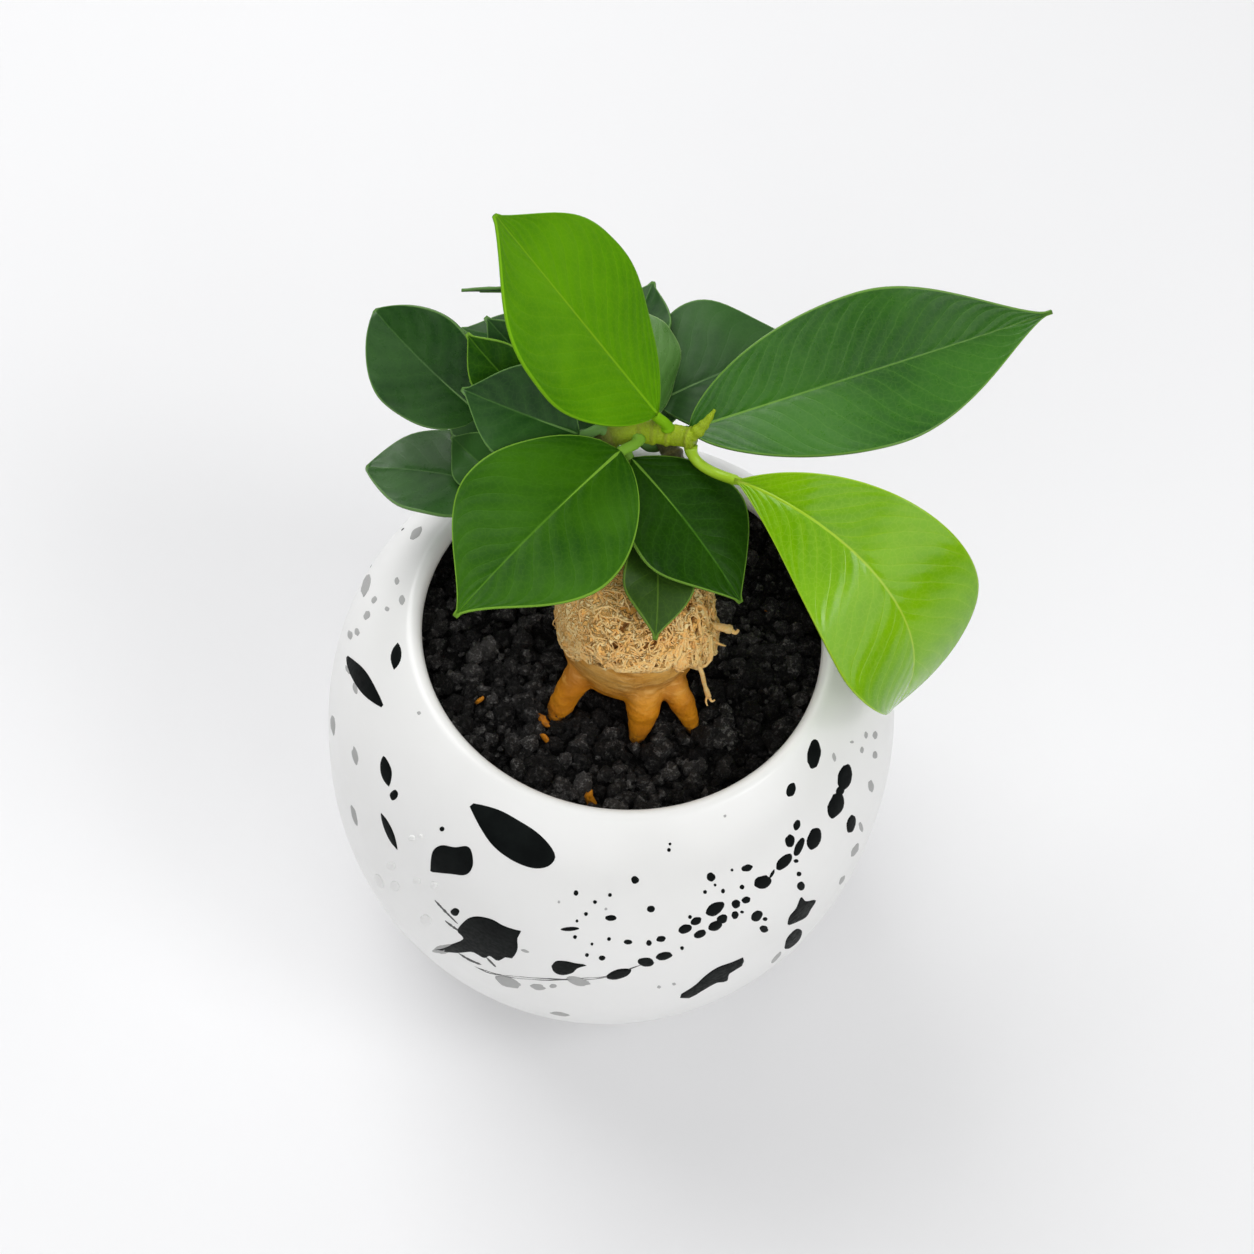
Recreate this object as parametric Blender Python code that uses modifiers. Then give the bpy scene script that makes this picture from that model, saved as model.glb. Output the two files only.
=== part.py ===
# Potted ginseng ficus: a round glazed pot filled with soil, a swollen root trunk with a fibrous
# coat, three grafted shoots and their leaves.
# Metres, +Z up. The origin is the centre of the pot's flat base. +X is to the right of the front.
import math

import bmesh
import bpy
import numpy as np
from mathutils import Quaternion, Vector, noise

MM = 0.001
GAP = 0.3 * MM              # clearance between neighbouring pieces

# Pot: two superellipses that meet at the widest ring
POT_RADIUS = 55 * MM
POT_WIDEST_Z = 54 * MM
SHOULDER_HEIGHT = 0.92 * POT_RADIUS
SHOULDER_POWER = 2.82
BELLY_HEIGHT = 1.19 * POT_RADIUS
BELLY_POWER = 2.05
POT_WALL = 3.8 * MM
POT_FLOOR = 5 * MM
RIM_RATIO = 0.72            # outer radius where the rounded lip starts, as a share of POT_RADIUS
POT_STEPS = 40
POT_RINGS = 12              # rings of the profile from the rim to the foot
FLOOR_FILLET = 3 * MM

# Soil
SOIL_LEVEL = 83 * MM
SOIL_RELIEF = 1.1 * MM
SOIL_GRAIN = 3.2 * MM       # size of the clods in the relief
SOIL_RINGS = 9

# Trunk: half widths of the smooth root against height, top to bottom, in mm
TRUNK_CENTRE = (1.5, 0.6)
TRUNK_PROFILE = (
    (113.0, 0.0), (112.6, 4.0), (111.2, 7.6), (108.8, 10.5), (105.8, 12.5), (102.5, 13.5),
    (99.0, 13.7), (95.5, 13.1), (92.0, 12.7), (89.0, 11.9), (86.5, 10.2), (83.0, 7.6),
    (78.0, 5.4), (74.0, 4.0), (73.6, 0.0),
)
COAT_THICKNESS = 0.8 * MM
COAT_FEATHER = 4            # rows over which the coat rises from nothing at the crown
COAT_RELIEF = 0.45 * MM
ROOT_RELIEF = 0.15 * MM
GRAIN_AROUND = 9            # fineness of the relief round the trunk and, per mm, up it
GRAIN_UP = 0.8
FLAP_PROUD = 1.6 * MM       # how far the loose flap of the coat stands out on the right
FLAP_ANGLE = -18            # degrees round the trunk from +X
FLAP_WIDTH = 17
FLAP_ROWS = 7               # the flap's height in rows above the coat's edge
# Height of the coat's lower edge against the angle round the trunk, in mm
COAT_EDGE = ((-180, 97.0), (-150, 97.0), (-135, 99.0), (-120, 102.0), (-105, 103.4), (-90, 104.1),
             (-60, 103.5), (-45, 101.7), (-30, 98.8), (-14, 97.6), (0, 98.6), (30, 101.0),
             (90, 103.0), (150, 99.0), (180, 97.0))
TRUNK_AROUND = 34
TRUNK_ROWS = 26
COAT_ROWS = 15              # rows above the coat's lower edge
EDGE_STEP = 0.9             # the first bare row starts this share of a row closer to the edge

# Roots and loose twigs: points in mm and the radius at each point
ROOTS = {
    "root_left": (((-2, -3, 94), 3.6), ((-5.5, -6.6, 91.4), 3.2), ((-8.3, -10.1, 87.8), 2.6),
                  ((-9.9, -12.6, 82.5), 2.3), ((-10.6, -14, 77), 1.8)),
    "root_middle": (((4, -4, 94), 4.6), ((5.2, -9.4, 91), 4.0), ((5.6, -12.8, 87.5), 2.9),
                    ((5.2, -15.4, 83), 1.5), ((5, -16.4, 78), 0.8)),
    "root_right": (((6, -3, 94), 3.8), ((9.8, -7.4, 91.4), 3.1), ((12.8, -10, 88), 2.3),
                   ((15, -11.8, 83.5), 1.4), ((16, -12.6, 78), 0.8)),
    "root_back_left": (((0, 4, 94), 3.2), ((-4.5, 9.5, 90.5), 2.8), ((-8, 14, 86.5), 2.2),
                       ((-10, 17.5, 82), 1.8), ((-11, 19, 77), 1.4)),
    "root_back_right": (((6, 4, 94), 3.2), ((11, 9, 90.5), 2.7), ((14, 12.5, 86.5), 2.2),
                        ((16, 15.5, 82), 1.8), ((17, 17, 77), 1.4)),
}
TWIGS = {
    "twig_side": (((13.6, -1.5, 103), 0.8), ((17.2, -1.2, 102.4), 0.7), ((19.3, -0.9, 101.5), 0.9)),
    "twig_front": (((12.2, -5.9, 101.5), 0.55), ((14.8, -8.2, 98.5), 0.45), ((15.9, -9, 95), 0.4),
                   ((17.1, -9.6, 91.5), 0.55)),
}

# Shoots: points in mm, the radius at the foot and at the end, and where the leaf scars lie
STEMS = {
    "stem_front": {
        "path": ((0, 5, 108.5), (-3.5, 9.5, 115.5), (-7.2, 15, 122), (-8.4, 18.6, 125.4),
                 (-5, 20.6, 127.2), (0.5, 21, 128), (5, 20.7, 128.6), (8, 19.8, 129.5)),
        "radii": (2.5, 1.8), "scars": (0.52, 0.66, 0.72, 0.8, 0.96)},
    "stem_left": {
        "path": ((-5.5, 0, 105), (-9.5, 4, 110.5), (-15, 10, 116), (-20.5, 15.5, 120),
                 (-25, 18.5, 124)),
        "radii": (2.3, 1.5), "scars": (0.45, 0.7, 0.92)},
    "stem_back": {
        "path": ((6, 7.5, 107.5), (7, 14, 113), (6, 21.5, 116.5), (2, 28, 118.8), (-3, 33, 120.5)),
        "radii": (2.4, 1.5), "scars": (0.4, 0.6, 0.8, 0.95)},
}
STEM_STATIONS = 24
SCAR_SWELL = 1.14
SCAR_LENGTH = 0.018         # share of the stem's length
BUD = (((7.4, 20.1, 129.6), 1.1), ((8.6, 20.6, 131.2), 1.15), ((9.8, 21.6, 132.8), 0.75),
       ((10.8, 22.8, 134.6), 0.25))

# Leaves: where the midrib starts (mm), which way it sets off (degrees), the blade's length and
# greatest width (mm), and how it bends. peak is where the blade is widest.
LEAF_SHAPE = {"peak": 0.48, "base_power": 0.75, "tip_power": 1.2, "droop": 20, "sweep": 0,
              "twist": 0, "fold": 10, "wave": 0.4, "along": 7, "across": 4}
LEAVES = {
    # front shoot
    "leaf_top": {"stem": "stem_front", "at": 0.8, "base": (1, 21.1, 133.5), "heading": 162,
                 "rise": 47, "roll": 4, "length": 46, "width": 40, "peak": 0.58,
                 "tip_power": 1.1, "droop": 6, "sweep": -7, "twist": 12, "fold": 2,
                 "along": 11, "across": 6},
    "leaf_right": {"stem": "stem_front", "at": 0.9, "base": (7, 23.7, 126.6), "heading": 19,
                   "rise": 18, "roll": 22, "length": 68, "width": 29, "peak": 0.5,
                   "base_power": 0.63, "tip_power": 1.32, "droop": 16, "sweep": 1,
                   "twist": 19, "fold": 20, "along": 12, "across": 6},
    "leaf_lime": {"stem": "stem_front", "at": 0.97, "base": (16, 14, 127), "heading": -40,
                  "rise": 34, "roll": 46, "length": 67, "width": 31, "peak": 0.64,
                  "base_power": 1.12, "tip_power": 0.83, "droop": 130, "sweep": -60,
                  "twist": -42, "fold": 5, "along": 14, "across": 6},
    "leaf_front": {"stem": "stem_front", "at": 0.66, "base": (-4.5, 15.2, 129.4),
                   "heading": -125, "rise": 1, "roll": -8, "length": 42, "width": 32,
                   "peak": 0.51, "base_power": 0.57, "tip_power": 1.35, "droop": 18,
                   "sweep": 1, "twist": 14, "fold": 1, "along": 10, "across": 6},
    "leaf_shaded": {"stem": "stem_front", "at": 0.6, "base": (-2.4, 17.6, 124.1), "heading": -40,
                    "rise": -8, "roll": -1, "length": 32, "width": 23, "droop": 19,
                    "sweep": -5, "fold": 4, "along": 8, "across": 6},
    "leaf_point": {"stem": "stem_front", "at": 0.22, "base": (3, 9.3, 117.4), "heading": -77,
                   "rise": -5, "roll": -5, "length": 22, "width": 13, "peak": 0.53,
                   "tip_power": 1.35, "droop": 12, "sweep": -10, "fold": 12},
    "leaf_grey": {"stem": "stem_front", "at": 0.5, "base": (-12, 18.2, 128.6), "heading": 176,
                  "rise": 14, "roll": -30, "length": 22, "width": 18, "droop": 18,
                  "sweep": -6, "fold": 12},
    "leaf_glossy": {"stem": "stem_front", "at": 0.74, "base": (1, 28.9, 122.2), "heading": 106,
                    "rise": 53, "roll": 54, "length": 20, "width": 20, "peak": 0.53,
                    "base_power": 0.71, "droop": 11, "sweep": 6, "twist": 11, "fold": 9},
    # left shoot
    "leaf_left": {"stem": "stem_left", "at": 0.95, "base": (-30.3, 26.8, 118.6), "heading": 161,
                  "rise": 29, "roll": -43, "length": 27, "width": 20.5, "peak": 0.5,
                  "base_power": 0.5, "tip_power": 0.77, "droop": 29, "sweep": -6, "fold": 18},
    "leaf_nook": {"stem": "stem_left", "at": 0.88, "base": (-21, 25.4, 125.8), "heading": 159,
                  "rise": 30, "roll": -42, "length": 17, "width": 11, "droop": 21,
                  "sweep": -8, "fold": 14},
    "leaf_nook_back": {"stem": "stem_left", "at": 0.8, "base": (-17.8, 30, 124),
                       "heading": 152, "rise": 32, "roll": -30, "length": 18, "width": 11,
                       "fold": 14},
    "leaf_low_left": {"stem": "stem_left", "at": 0.5, "base": (-21.5, 17.6, 108.5), "heading": 175,
                      "rise": 13, "roll": 11, "length": 29, "width": 22, "peak": 0.55,
                      "tip_power": 0.8, "droop": 27, "fold": 3},
    "leaf_curl": {"stem": "stem_left", "at": 0.65, "base": (-24, 15.2, 114.1), "heading": 147,
                  "rise": 7, "roll": -37, "length": 15, "width": 11, "droop": 25, "fold": 6},
    "leaf_rear_low": {"stem": "stem_left", "at": 0.45, "base": (-15, 20.3, 107.6), "heading": 141,
                      "rise": 12, "roll": 8, "length": 30, "width": 20, "droop": 26},
    # back shoot
    "leaf_broad": {"stem": "stem_back", "at": 0.85, "base": (0.5, 34, 119), "heading": 30,
                   "rise": 18, "roll": -5, "length": 31, "width": 33, "peak": 0.42,
                   "tip_power": 1.3, "droop": 22, "fold": 8, "along": 8},
    "leaf_peek": {"stem": "stem_back", "at": 0.95, "base": (-6.5, 39.7, 118.1), "heading": 82,
                  "rise": 22, "roll": -20, "length": 20, "width": 15, "droop": 18},
    "leaf_thin": {"stem": "stem_back", "at": 0.97, "base": (-11.5, 50.8, 128.6), "heading": 193,
                  "rise": 6, "roll": 54, "length": 26, "width": 12, "droop": 3, "fold": 5},
    "leaf_far_left": {"stem": "stem_back", "at": 0.7, "base": (-10, 38.8, 118.1),
                      "heading": 163, "rise": 12, "roll": 10, "length": 28, "width": 18,
                      "droop": 26},
    "leaf_rear": {"stem": "stem_back", "at": 0.6, "base": (2, 33.7, 111.2), "heading": 106,
                  "rise": 14, "roll": 0, "length": 25, "width": 20, "droop": 30},
    "leaf_rear_left": {"stem": "stem_back", "at": 0.5, "base": (-7, 29, 113), "heading": 138,
                       "rise": 12, "roll": 0, "length": 34, "width": 22, "droop": 26},
}

BLADE_THICKNESS = 0.7 * MM
PETIOLE_RADIUS = 0.95 * MM
MIDRIB_RADIUS = 0.75 * MM   # where the blade starts
MIDRIB_END_RADIUS = 0.35 * MM
MIDRIB_DROP = 0.55 * MM     # the rib's centre below the blade's middle
MIDRIB_SHARE = 0.78         # how far along the blade the rib stands out
TIP_HALF_WIDTH = 0.4 * MM

FINISHES = {
    "glaze": ((0.87, 0.87, 0.86), 0.18),
    "soil": ((0.02, 0.018, 0.017), 0.95),
    "bark": ((0.62, 0.42, 0.2), 0.8),
    "shoot": ((0.3, 0.36, 0.06), 0.45),
    "leaf_dark": ((0.02, 0.09, 0.02), 0.3),
    "leaf_green": ((0.04, 0.16, 0.02), 0.3),
    "leaf_bright": ((0.12, 0.33, 0.01), 0.35),
}
LEAF_FINISH = {"leaf_top": "leaf_bright", "leaf_lime": "leaf_bright",
               "leaf_right": "leaf_green", "leaf_front": "leaf_green"}
SHARP_ANGLE = math.radians(50)
LIP_STEPS = 6
RIPPLES = 5                 # half waves of a leaf's edge along its length
SOIL_FADE = 3 * MM          # the relief dies away this far from the pot's wall
SOIL_RIM = 0.5 * MM         # width of the flat rim next to the wall
FINE_CLODS = 2.3            # how much finer the second layer of clods is, and its share
FINE_CLOD_SHARE = 0.6
FINE_CLOD_SHIFT = (7, 3, 1)
LEVEL = 0.01 * MM           # heights closer than this are the same
THINNEST = 0.05 * MM        # rows of the trunk thinner than this are its two ends
ROOT_STATIONS = 9
TWIG_STATIONS = 5
BUD_STATIONS = 7
PETIOLE_STATIONS = 4
PETIOLE_REACH = 0.4         # how far the petiole's handles reach, as a share of its span


def clear_scene():
    for item in list(bpy.data.objects):
        bpy.data.objects.remove(item, do_unlink=True)


def new_collection(name):
    collection = bpy.data.collections.new(name)
    bpy.context.scene.collection.children.link(collection)
    return collection


def finish(name):
    material = bpy.data.materials.get(name)
    if material is None:
        colour, roughness = FINISHES[name]
        material = bpy.data.materials.new(name)
        material.use_nodes = True
        shader = material.node_tree.nodes["Principled BSDF"]
        shader.inputs["Base Color"].default_value = (*colour, 1)
        shader.inputs["Roughness"].default_value = roughness
        shader.inputs["Metallic"].default_value = 0
    return material


def add_object(name, mesh, collection):
    item = bpy.data.objects.new(name, mesh)
    collection.objects.link(item)
    return item


def mesh_from(bm, name):
    mesh = bpy.data.meshes.new(name)
    bm.to_mesh(mesh)
    bm.free()
    return mesh


def apply_modifiers(item):
    bpy.context.view_layer.update()
    depsgraph = bpy.context.evaluated_depsgraph_get()
    mesh = bpy.data.meshes.new_from_object(item.evaluated_get(depsgraph))
    mesh.name = item.name
    item.modifiers.clear()
    item.data = mesh


def combine(item, others, operation, solver="EXACT"):
    # One Boolean with all the other solids, which are removed afterwards
    group = bpy.data.collections.new("operands")
    bpy.context.scene.collection.children.link(group)
    for other in others:
        for old in other.users_collection:
            old.objects.unlink(other)
        group.objects.link(other)
    boolean = item.modifiers.new("combine", "BOOLEAN")
    boolean.operation = operation
    boolean.operand_type = "COLLECTION"
    boolean.collection = group
    boolean.solver = solver
    apply_modifiers(item)
    for other in others:
        bpy.data.objects.remove(other, do_unlink=True)
    bpy.data.collections.remove(group)


def dress(item, finish_name):
    item.data.materials.clear()
    item.data.materials.append(finish(finish_name))
    item.data.shade_smooth()
    item.data.set_sharp_from_angle(angle=SHARP_ANGLE)


def smooth_path(points, count):
    # Catmull-Rom curve through the points, read at even steps of its parameter
    knots = [Vector(p) * MM for p in points]
    knots = [2 * knots[0] - knots[1]] + knots + [2 * knots[-1] - knots[-2]]
    path = []
    for step in range(count):
        place = step / (count - 1) * (len(points) - 1)
        i = min(int(place), len(points) - 2)
        u = place - i
        a, b, c, d = knots[i:i + 4]
        path.append(0.5 * (2 * b + (c - a) * u + (2 * a - 5 * b + 4 * c - d) * u ** 2
                           + (3 * b - a - 3 * c + d) * u ** 3))
    return path


def tube(name, path, radii, collection, resolution=2):
    # A capped tube along a path, as a mesh
    curve = bpy.data.curves.new(name, "CURVE")
    curve.dimensions = "3D"
    curve.bevel_depth = 1.0
    curve.bevel_resolution = resolution
    curve.use_fill_caps = True
    spline = curve.splines.new("POLY")
    spline.points.add(len(path) - 1)
    for point, place, radius in zip(spline.points, path, radii):
        point.co = (*place, 1)
        point.radius = radius
    guide = add_object(name + "_curve", curve, collection)
    bpy.context.view_layer.update()
    depsgraph = bpy.context.evaluated_depsgraph_get()
    mesh = bpy.data.meshes.new_from_object(guide.evaluated_get(depsgraph))
    bpy.data.objects.remove(guide, do_unlink=True)
    bm = bmesh.new()
    bm.from_mesh(mesh)
    bmesh.ops.remove_doubles(bm, verts=bm.verts, dist=0.001 * MM)
    bmesh.ops.recalc_face_normals(bm, faces=bm.faces)
    bm.to_mesh(mesh)
    bm.free()
    return add_object(name, mesh, collection)


def pot_curve(angle):
    # Point and outward normal of the pot's outside; angle in radians above the widest ring
    height, power = (SHOULDER_HEIGHT, SHOULDER_POWER) if angle > 0 else (BELLY_HEIGHT, BELLY_POWER)
    across = max(math.cos(angle), 0) ** (2 / power)
    up = abs(math.sin(angle)) ** (2 / power)
    normal = Vector((across ** (power - 1) / POT_RADIUS,
                     math.copysign(up ** (power - 1), angle) / height)).normalized()
    point = Vector((across * POT_RADIUS, POT_WIDEST_Z + math.copysign(up, angle) * height))
    return point, normal


def pot_angles(count):
    start = math.acos(RIM_RATIO ** (SHOULDER_POWER / 2))
    end = -math.asin((POT_WIDEST_Z / BELLY_HEIGHT) ** (BELLY_POWER / 2))
    return [start + (end - start) * i / (count - 1) for i in range(count)]


def inner_wall(clearance):
    # The inside of the wall, from the rim down to the floor's fillet, set in by a clearance
    wall = []
    for angle in pot_angles(POT_RINGS):
        point, normal = pot_curve(angle)
        if (point - normal * POT_WALL).y > POT_FLOOR + FLOOR_FILLET:
            wall.append(point - normal * (POT_WALL + clearance))
    last = wall[-1]
    wall.append(Vector((last.x - FLOOR_FILLET, POT_FLOOR + clearance)))
    wall.append(Vector((0, POT_FLOOR + clearance)))
    return wall


def turned(name, profile, collection):
    # The profile runs from the axis at the top, down the outer side and back to the axis
    mesh = bpy.data.meshes.new(name)
    mesh.from_pydata([(p[0], 0, p[1]) for p in profile],
                     [(i, i + 1) for i in range(len(profile) - 1)], [])
    item = add_object(name, mesh, collection)
    screw = item.modifiers.new("turn", "SCREW")
    screw.steps = POT_STEPS
    screw.render_steps = POT_STEPS
    screw.use_merge_vertices = True
    screw.merge_threshold = LEVEL
    apply_modifiers(item)
    return item


def make_pot(collection):
    lip = []
    start, normal = pot_curve(pot_angles(2)[0])
    centre = start - normal * POT_WALL / 2
    tilt = math.atan2(normal.y, normal.x)
    for i in range(1, LIP_STEPS):
        turn = tilt + math.pi * (1 - i / LIP_STEPS)
        lip.append(centre + Vector((math.cos(turn), math.sin(turn))) * POT_WALL / 2)
    outside = [pot_curve(angle)[0] for angle in pot_angles(POT_RINGS)]
    outside[-1].y = 0
    profile = inner_wall(0)[::-1] + lip + outside + [Vector((0, 0))]
    pot = turned("pot", profile, collection)
    dress(pot, "glaze")
    return pot


def soil_height(x, y, edge):
    place = Vector((x, y, 0)) / SOIL_GRAIN
    clods = noise.noise(place)
    clods += FINE_CLOD_SHARE * noise.noise(place * FINE_CLODS + Vector(FINE_CLOD_SHIFT))
    fade = min(1, max(0, (edge - math.hypot(x, y)) / SOIL_FADE))
    return SOIL_RELIEF * clods * fade


def make_soil(collection, cutters):
    wall = inner_wall(GAP)
    above = [p for p in wall if p.y >= SOIL_LEVEL][-1]
    wall = wall[wall.index(above) + 1:]
    share = (above.y - SOIL_LEVEL) / (above.y - wall[0].y)
    wall.insert(0, above.lerp(wall[0], share))
    edge = wall[0].x
    top = [Vector((edge * i / SOIL_RINGS, SOIL_LEVEL)) for i in range(SOIL_RINGS)]
    rim = Vector((edge - SOIL_RIM, SOIL_LEVEL))
    profile = top + [rim] + wall
    soil = turned("soil", profile, collection)
    for vertex in soil.data.vertices:
        x, y, z = vertex.co
        if z > SOIL_LEVEL - LEVEL:
            vertex.co.z += soil_height(x, y, edge)
    combine(soil, cutters, "DIFFERENCE")
    dress(soil, "soil")
    return soil


def coat_edge(degrees):
    angles, heights = zip(*COAT_EDGE)
    return float(np.interp(degrees, angles, heights))


def trunk_core(name, clearance, collection):
    # A sphere whose rows are laid along the trunk's profile, with one row on the coat's edge
    heights = np.array([z for z, _ in TRUNK_PROFILE])
    widths = np.array([r for _, r in TRUNK_PROFILE])
    run = np.concatenate([[0], np.cumsum(np.hypot(np.diff(heights), np.diff(widths)))])
    bm = bmesh.new()
    bmesh.ops.create_uvsphere(bm, u_segments=TRUNK_AROUND, v_segments=TRUNK_ROWS, radius=1)
    for vertex in bm.verts:
        direction = Vector((vertex.co.x, vertex.co.y))
        angle = math.atan2(direction.y, direction.x)
        degrees = math.degrees(angle)
        row = math.acos(max(-1, min(1, vertex.co.z))) / math.pi * TRUNK_ROWS
        edge_run = np.interp(-coat_edge(degrees), -heights, run)
        in_coat = row < COAT_ROWS + 0.5
        if in_coat:
            place = edge_run * row / COAT_ROWS
        else:
            share = (row - COAT_ROWS - EDGE_STEP) / (TRUNK_ROWS - COAT_ROWS - EDGE_STEP)
            place = edge_run + (run[-1] - edge_run) * max(share, 0.01)
        z = float(np.interp(place, run, heights)) * MM
        r = float(np.interp(place, run, widths)) * MM
        if r > THINNEST:
            grain = noise.noise(Vector((math.cos(angle) * GRAIN_AROUND, math.sin(angle) * GRAIN_AROUND,
                                        z / MM * GRAIN_UP)))
            flap = math.exp(-((degrees - FLAP_ANGLE) / FLAP_WIDTH) ** 2)
            if in_coat:
                hang = max(0, 1 - (COAT_ROWS - row) / FLAP_ROWS)
                r += COAT_THICKNESS * min(1, row / COAT_FEATHER) + COAT_RELIEF * grain
                r += FLAP_PROUD * flap * hang
            else:
                r += ROOT_RELIEF * grain
            r += clearance
        reach = Vector((math.cos(angle), math.sin(angle))) * r
        lower = clearance if row > TRUNK_ROWS - 0.5 else 0
        vertex.co = (TRUNK_CENTRE[0] * MM + reach.x, TRUNK_CENTRE[1] * MM + reach.y, z - lower)
    bmesh.ops.recalc_face_normals(bm, faces=bm.faces)
    return add_object(name, mesh_from(bm, name), collection)


def limbs(table, clearance, count, collection):
    made = []
    for name, points in table.items():
        path = smooth_path([p for p, _ in points], count)
        places = [i / (count - 1) * (len(points) - 1) for i in range(count)]
        radii = [float(np.interp(p, range(len(points)), [r for _, r in points])) * MM + clearance
                 for p in places]
        if clearance:
            path[-1] = path[-1] + (path[-1] - path[-2]).normalized() * clearance
        made.append(tube(name, path, radii, collection))
    return made


def stem_radius(stem, share):
    foot, end = stem["radii"]
    radius = foot + (end - foot) * share
    swell = sum(math.exp(-((share - scar) / SCAR_LENGTH) ** 2) for scar in stem["scars"])
    return radius * (1 + (SCAR_SWELL - 1) * min(swell, 1)) * MM


def stem_tube(name, stem, clearance, collection):
    path = smooth_path(stem["path"], STEM_STATIONS)
    shares = [i / (STEM_STATIONS - 1) for i in range(STEM_STATIONS)]
    radii = [stem_radius(stem, share) + clearance for share in shares]
    if clearance:
        path[0] = path[0] + (path[0] - path[1]).normalized() * clearance
    return tube(name, path, radii, collection, resolution=3)


def make_trunk(collection):
    trunk = trunk_core("trunk", 0, collection)
    grown = limbs(ROOTS, 0, ROOT_STATIONS, collection) + limbs(TWIGS, 0, TWIG_STATIONS, collection)
    combine(trunk, grown, "UNION")
    sockets = [stem_tube(name + "_socket", stem, GAP, collection) for name, stem in STEMS.items()]
    combine(trunk, sockets, "DIFFERENCE")
    dress(trunk, "bark")
    return trunk


def leaf_frames(leaf, count):
    # Places along the midrib, each with the way forward, to the right and up
    heading, rise, roll = (math.radians(leaf[key]) for key in ("heading", "rise", "roll"))
    forward = Vector((math.cos(rise) * math.cos(heading), math.cos(rise) * math.sin(heading),
                      math.sin(rise)))
    up = Vector((-math.sin(rise) * math.cos(heading), -math.sin(rise) * math.sin(heading),
                 math.cos(rise)))
    up.rotate(Quaternion(forward, roll))
    right = forward.cross(up)
    place = Vector(leaf["base"]) * MM
    step = leaf["length"] * MM / count
    bend, sweep, twist = (math.radians(leaf[key]) / count for key in ("droop", "sweep", "twist"))
    frames = [(place.copy(), forward.copy(), right.copy(), up.copy())]
    for _ in range(count):
        before = forward.copy()
        forward.rotate(Quaternion(right, -bend))
        up.rotate(Quaternion(right, -bend))
        forward.rotate(Quaternion(up, sweep))
        up.rotate(Quaternion(forward, twist))
        right = forward.cross(up).normalized()
        place = place + (before + forward) / 2 * step
        frames.append((place.copy(), forward.copy(), right.copy(), up.copy()))
    return frames


def half_width(leaf, share):
    if share < leaf["peak"]:
        swell = math.sin(math.pi / 2 * share / leaf["peak"]) ** leaf["base_power"]
    else:
        rest = (share - leaf["peak"]) / (1 - leaf["peak"])
        swell = max(math.cos(math.pi / 2 * rest), 0) ** leaf["tip_power"]
    return max(leaf["width"] * MM / 2 * swell, TIP_HALF_WIDTH)


def make_blade(name, leaf, collection):
    frames = leaf_frames(leaf, leaf["along"])
    fold = math.radians(leaf["fold"])
    bm = bmesh.new()
    bmesh.ops.create_grid(bm, x_segments=leaf["across"], y_segments=leaf["along"], size=1)
    bmesh.ops.triangulate(bm, faces=bm.faces)
    for vertex in bm.verts:
        side = vertex.co.x
        share = (vertex.co.y + 1) / 2
        place, _, right, up = frames[round(share * leaf["along"])]
        width = half_width(leaf, share)
        ripple = math.sin(math.pi * (RIPPLES * share + 0.4 * math.copysign(1, side)))
        lift = leaf["wave"] * MM * side ** 2 * ripple * width / (leaf["width"] * MM / 2)
        vertex.co = (place + right * side * width * math.cos(fold)
                     + up * (abs(side) * width * math.sin(fold) + lift))
    blade = add_object(name, mesh_from(bm, name), collection)
    wall = blade.modifiers.new("thickness", "SOLIDIFY")
    wall.thickness = BLADE_THICKNESS
    wall.offset = 0
    apply_modifiers(blade)
    return blade


def stem_place(stem, share):
    path = smooth_path(stem["path"], STEM_STATIONS)
    place = share * (STEM_STATIONS - 1)
    i = min(int(place), STEM_STATIONS - 2)
    centre = path[i].lerp(path[i + 1], place - i)
    return centre, (path[i + 1] - path[i]).normalized()


def petiole_path(leaf, first, count):
    # From just clear of the stem to the blade's base, as one cubic curve
    base, forward, _, up = first
    stem = STEMS[leaf["stem"]]
    centre, along = stem_place(stem, leaf["at"])
    base = base - up * MIDRIB_DROP
    out = base - centre
    out = (out - along * out.dot(along)).normalized()
    foot, end = stem["radii"]
    clear = (foot + (end - foot) * leaf["at"]) * SCAR_SWELL * MM
    start = centre + out * (clear + GAP)
    reach = (base - start).length * PETIOLE_REACH
    corners = (start, start + out * reach, base - forward * reach, base)
    path = []
    for i in range(count):
        u = i / count
        weights = ((1 - u) ** 3, 3 * u * (1 - u) ** 2, 3 * u ** 2 * (1 - u), u ** 3)
        path.append(sum((c * w for c, w in zip(corners, weights)), Vector()))
    return path


def make_leaf(name, leaf, collection):
    leaf = {**LEAF_SHAPE, **leaf}
    blade = make_blade(name, leaf, collection)
    frames = leaf_frames(leaf, leaf["along"])
    stalk = petiole_path(leaf, frames[0], PETIOLE_STATIONS)
    rib_count = round(leaf["along"] * MIDRIB_SHARE) + 1
    rib = [place - up * MIDRIB_DROP for place, _, _, up in frames[:rib_count]]
    radii = [PETIOLE_RADIUS] * len(stalk)
    for i in range(len(rib)):
        share = i / (len(rib) - 1)
        radii.append(MIDRIB_RADIUS + (MIDRIB_END_RADIUS - MIDRIB_RADIUS) * share)
    stalk_tube = tube(name + "_stalk", stalk + rib, radii, collection, resolution=1)
    combine(blade, [stalk_tube], "UNION", "MANIFOLD")
    dress(blade, LEAF_FINISH.get(name, "leaf_dark"))
    return blade


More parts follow.
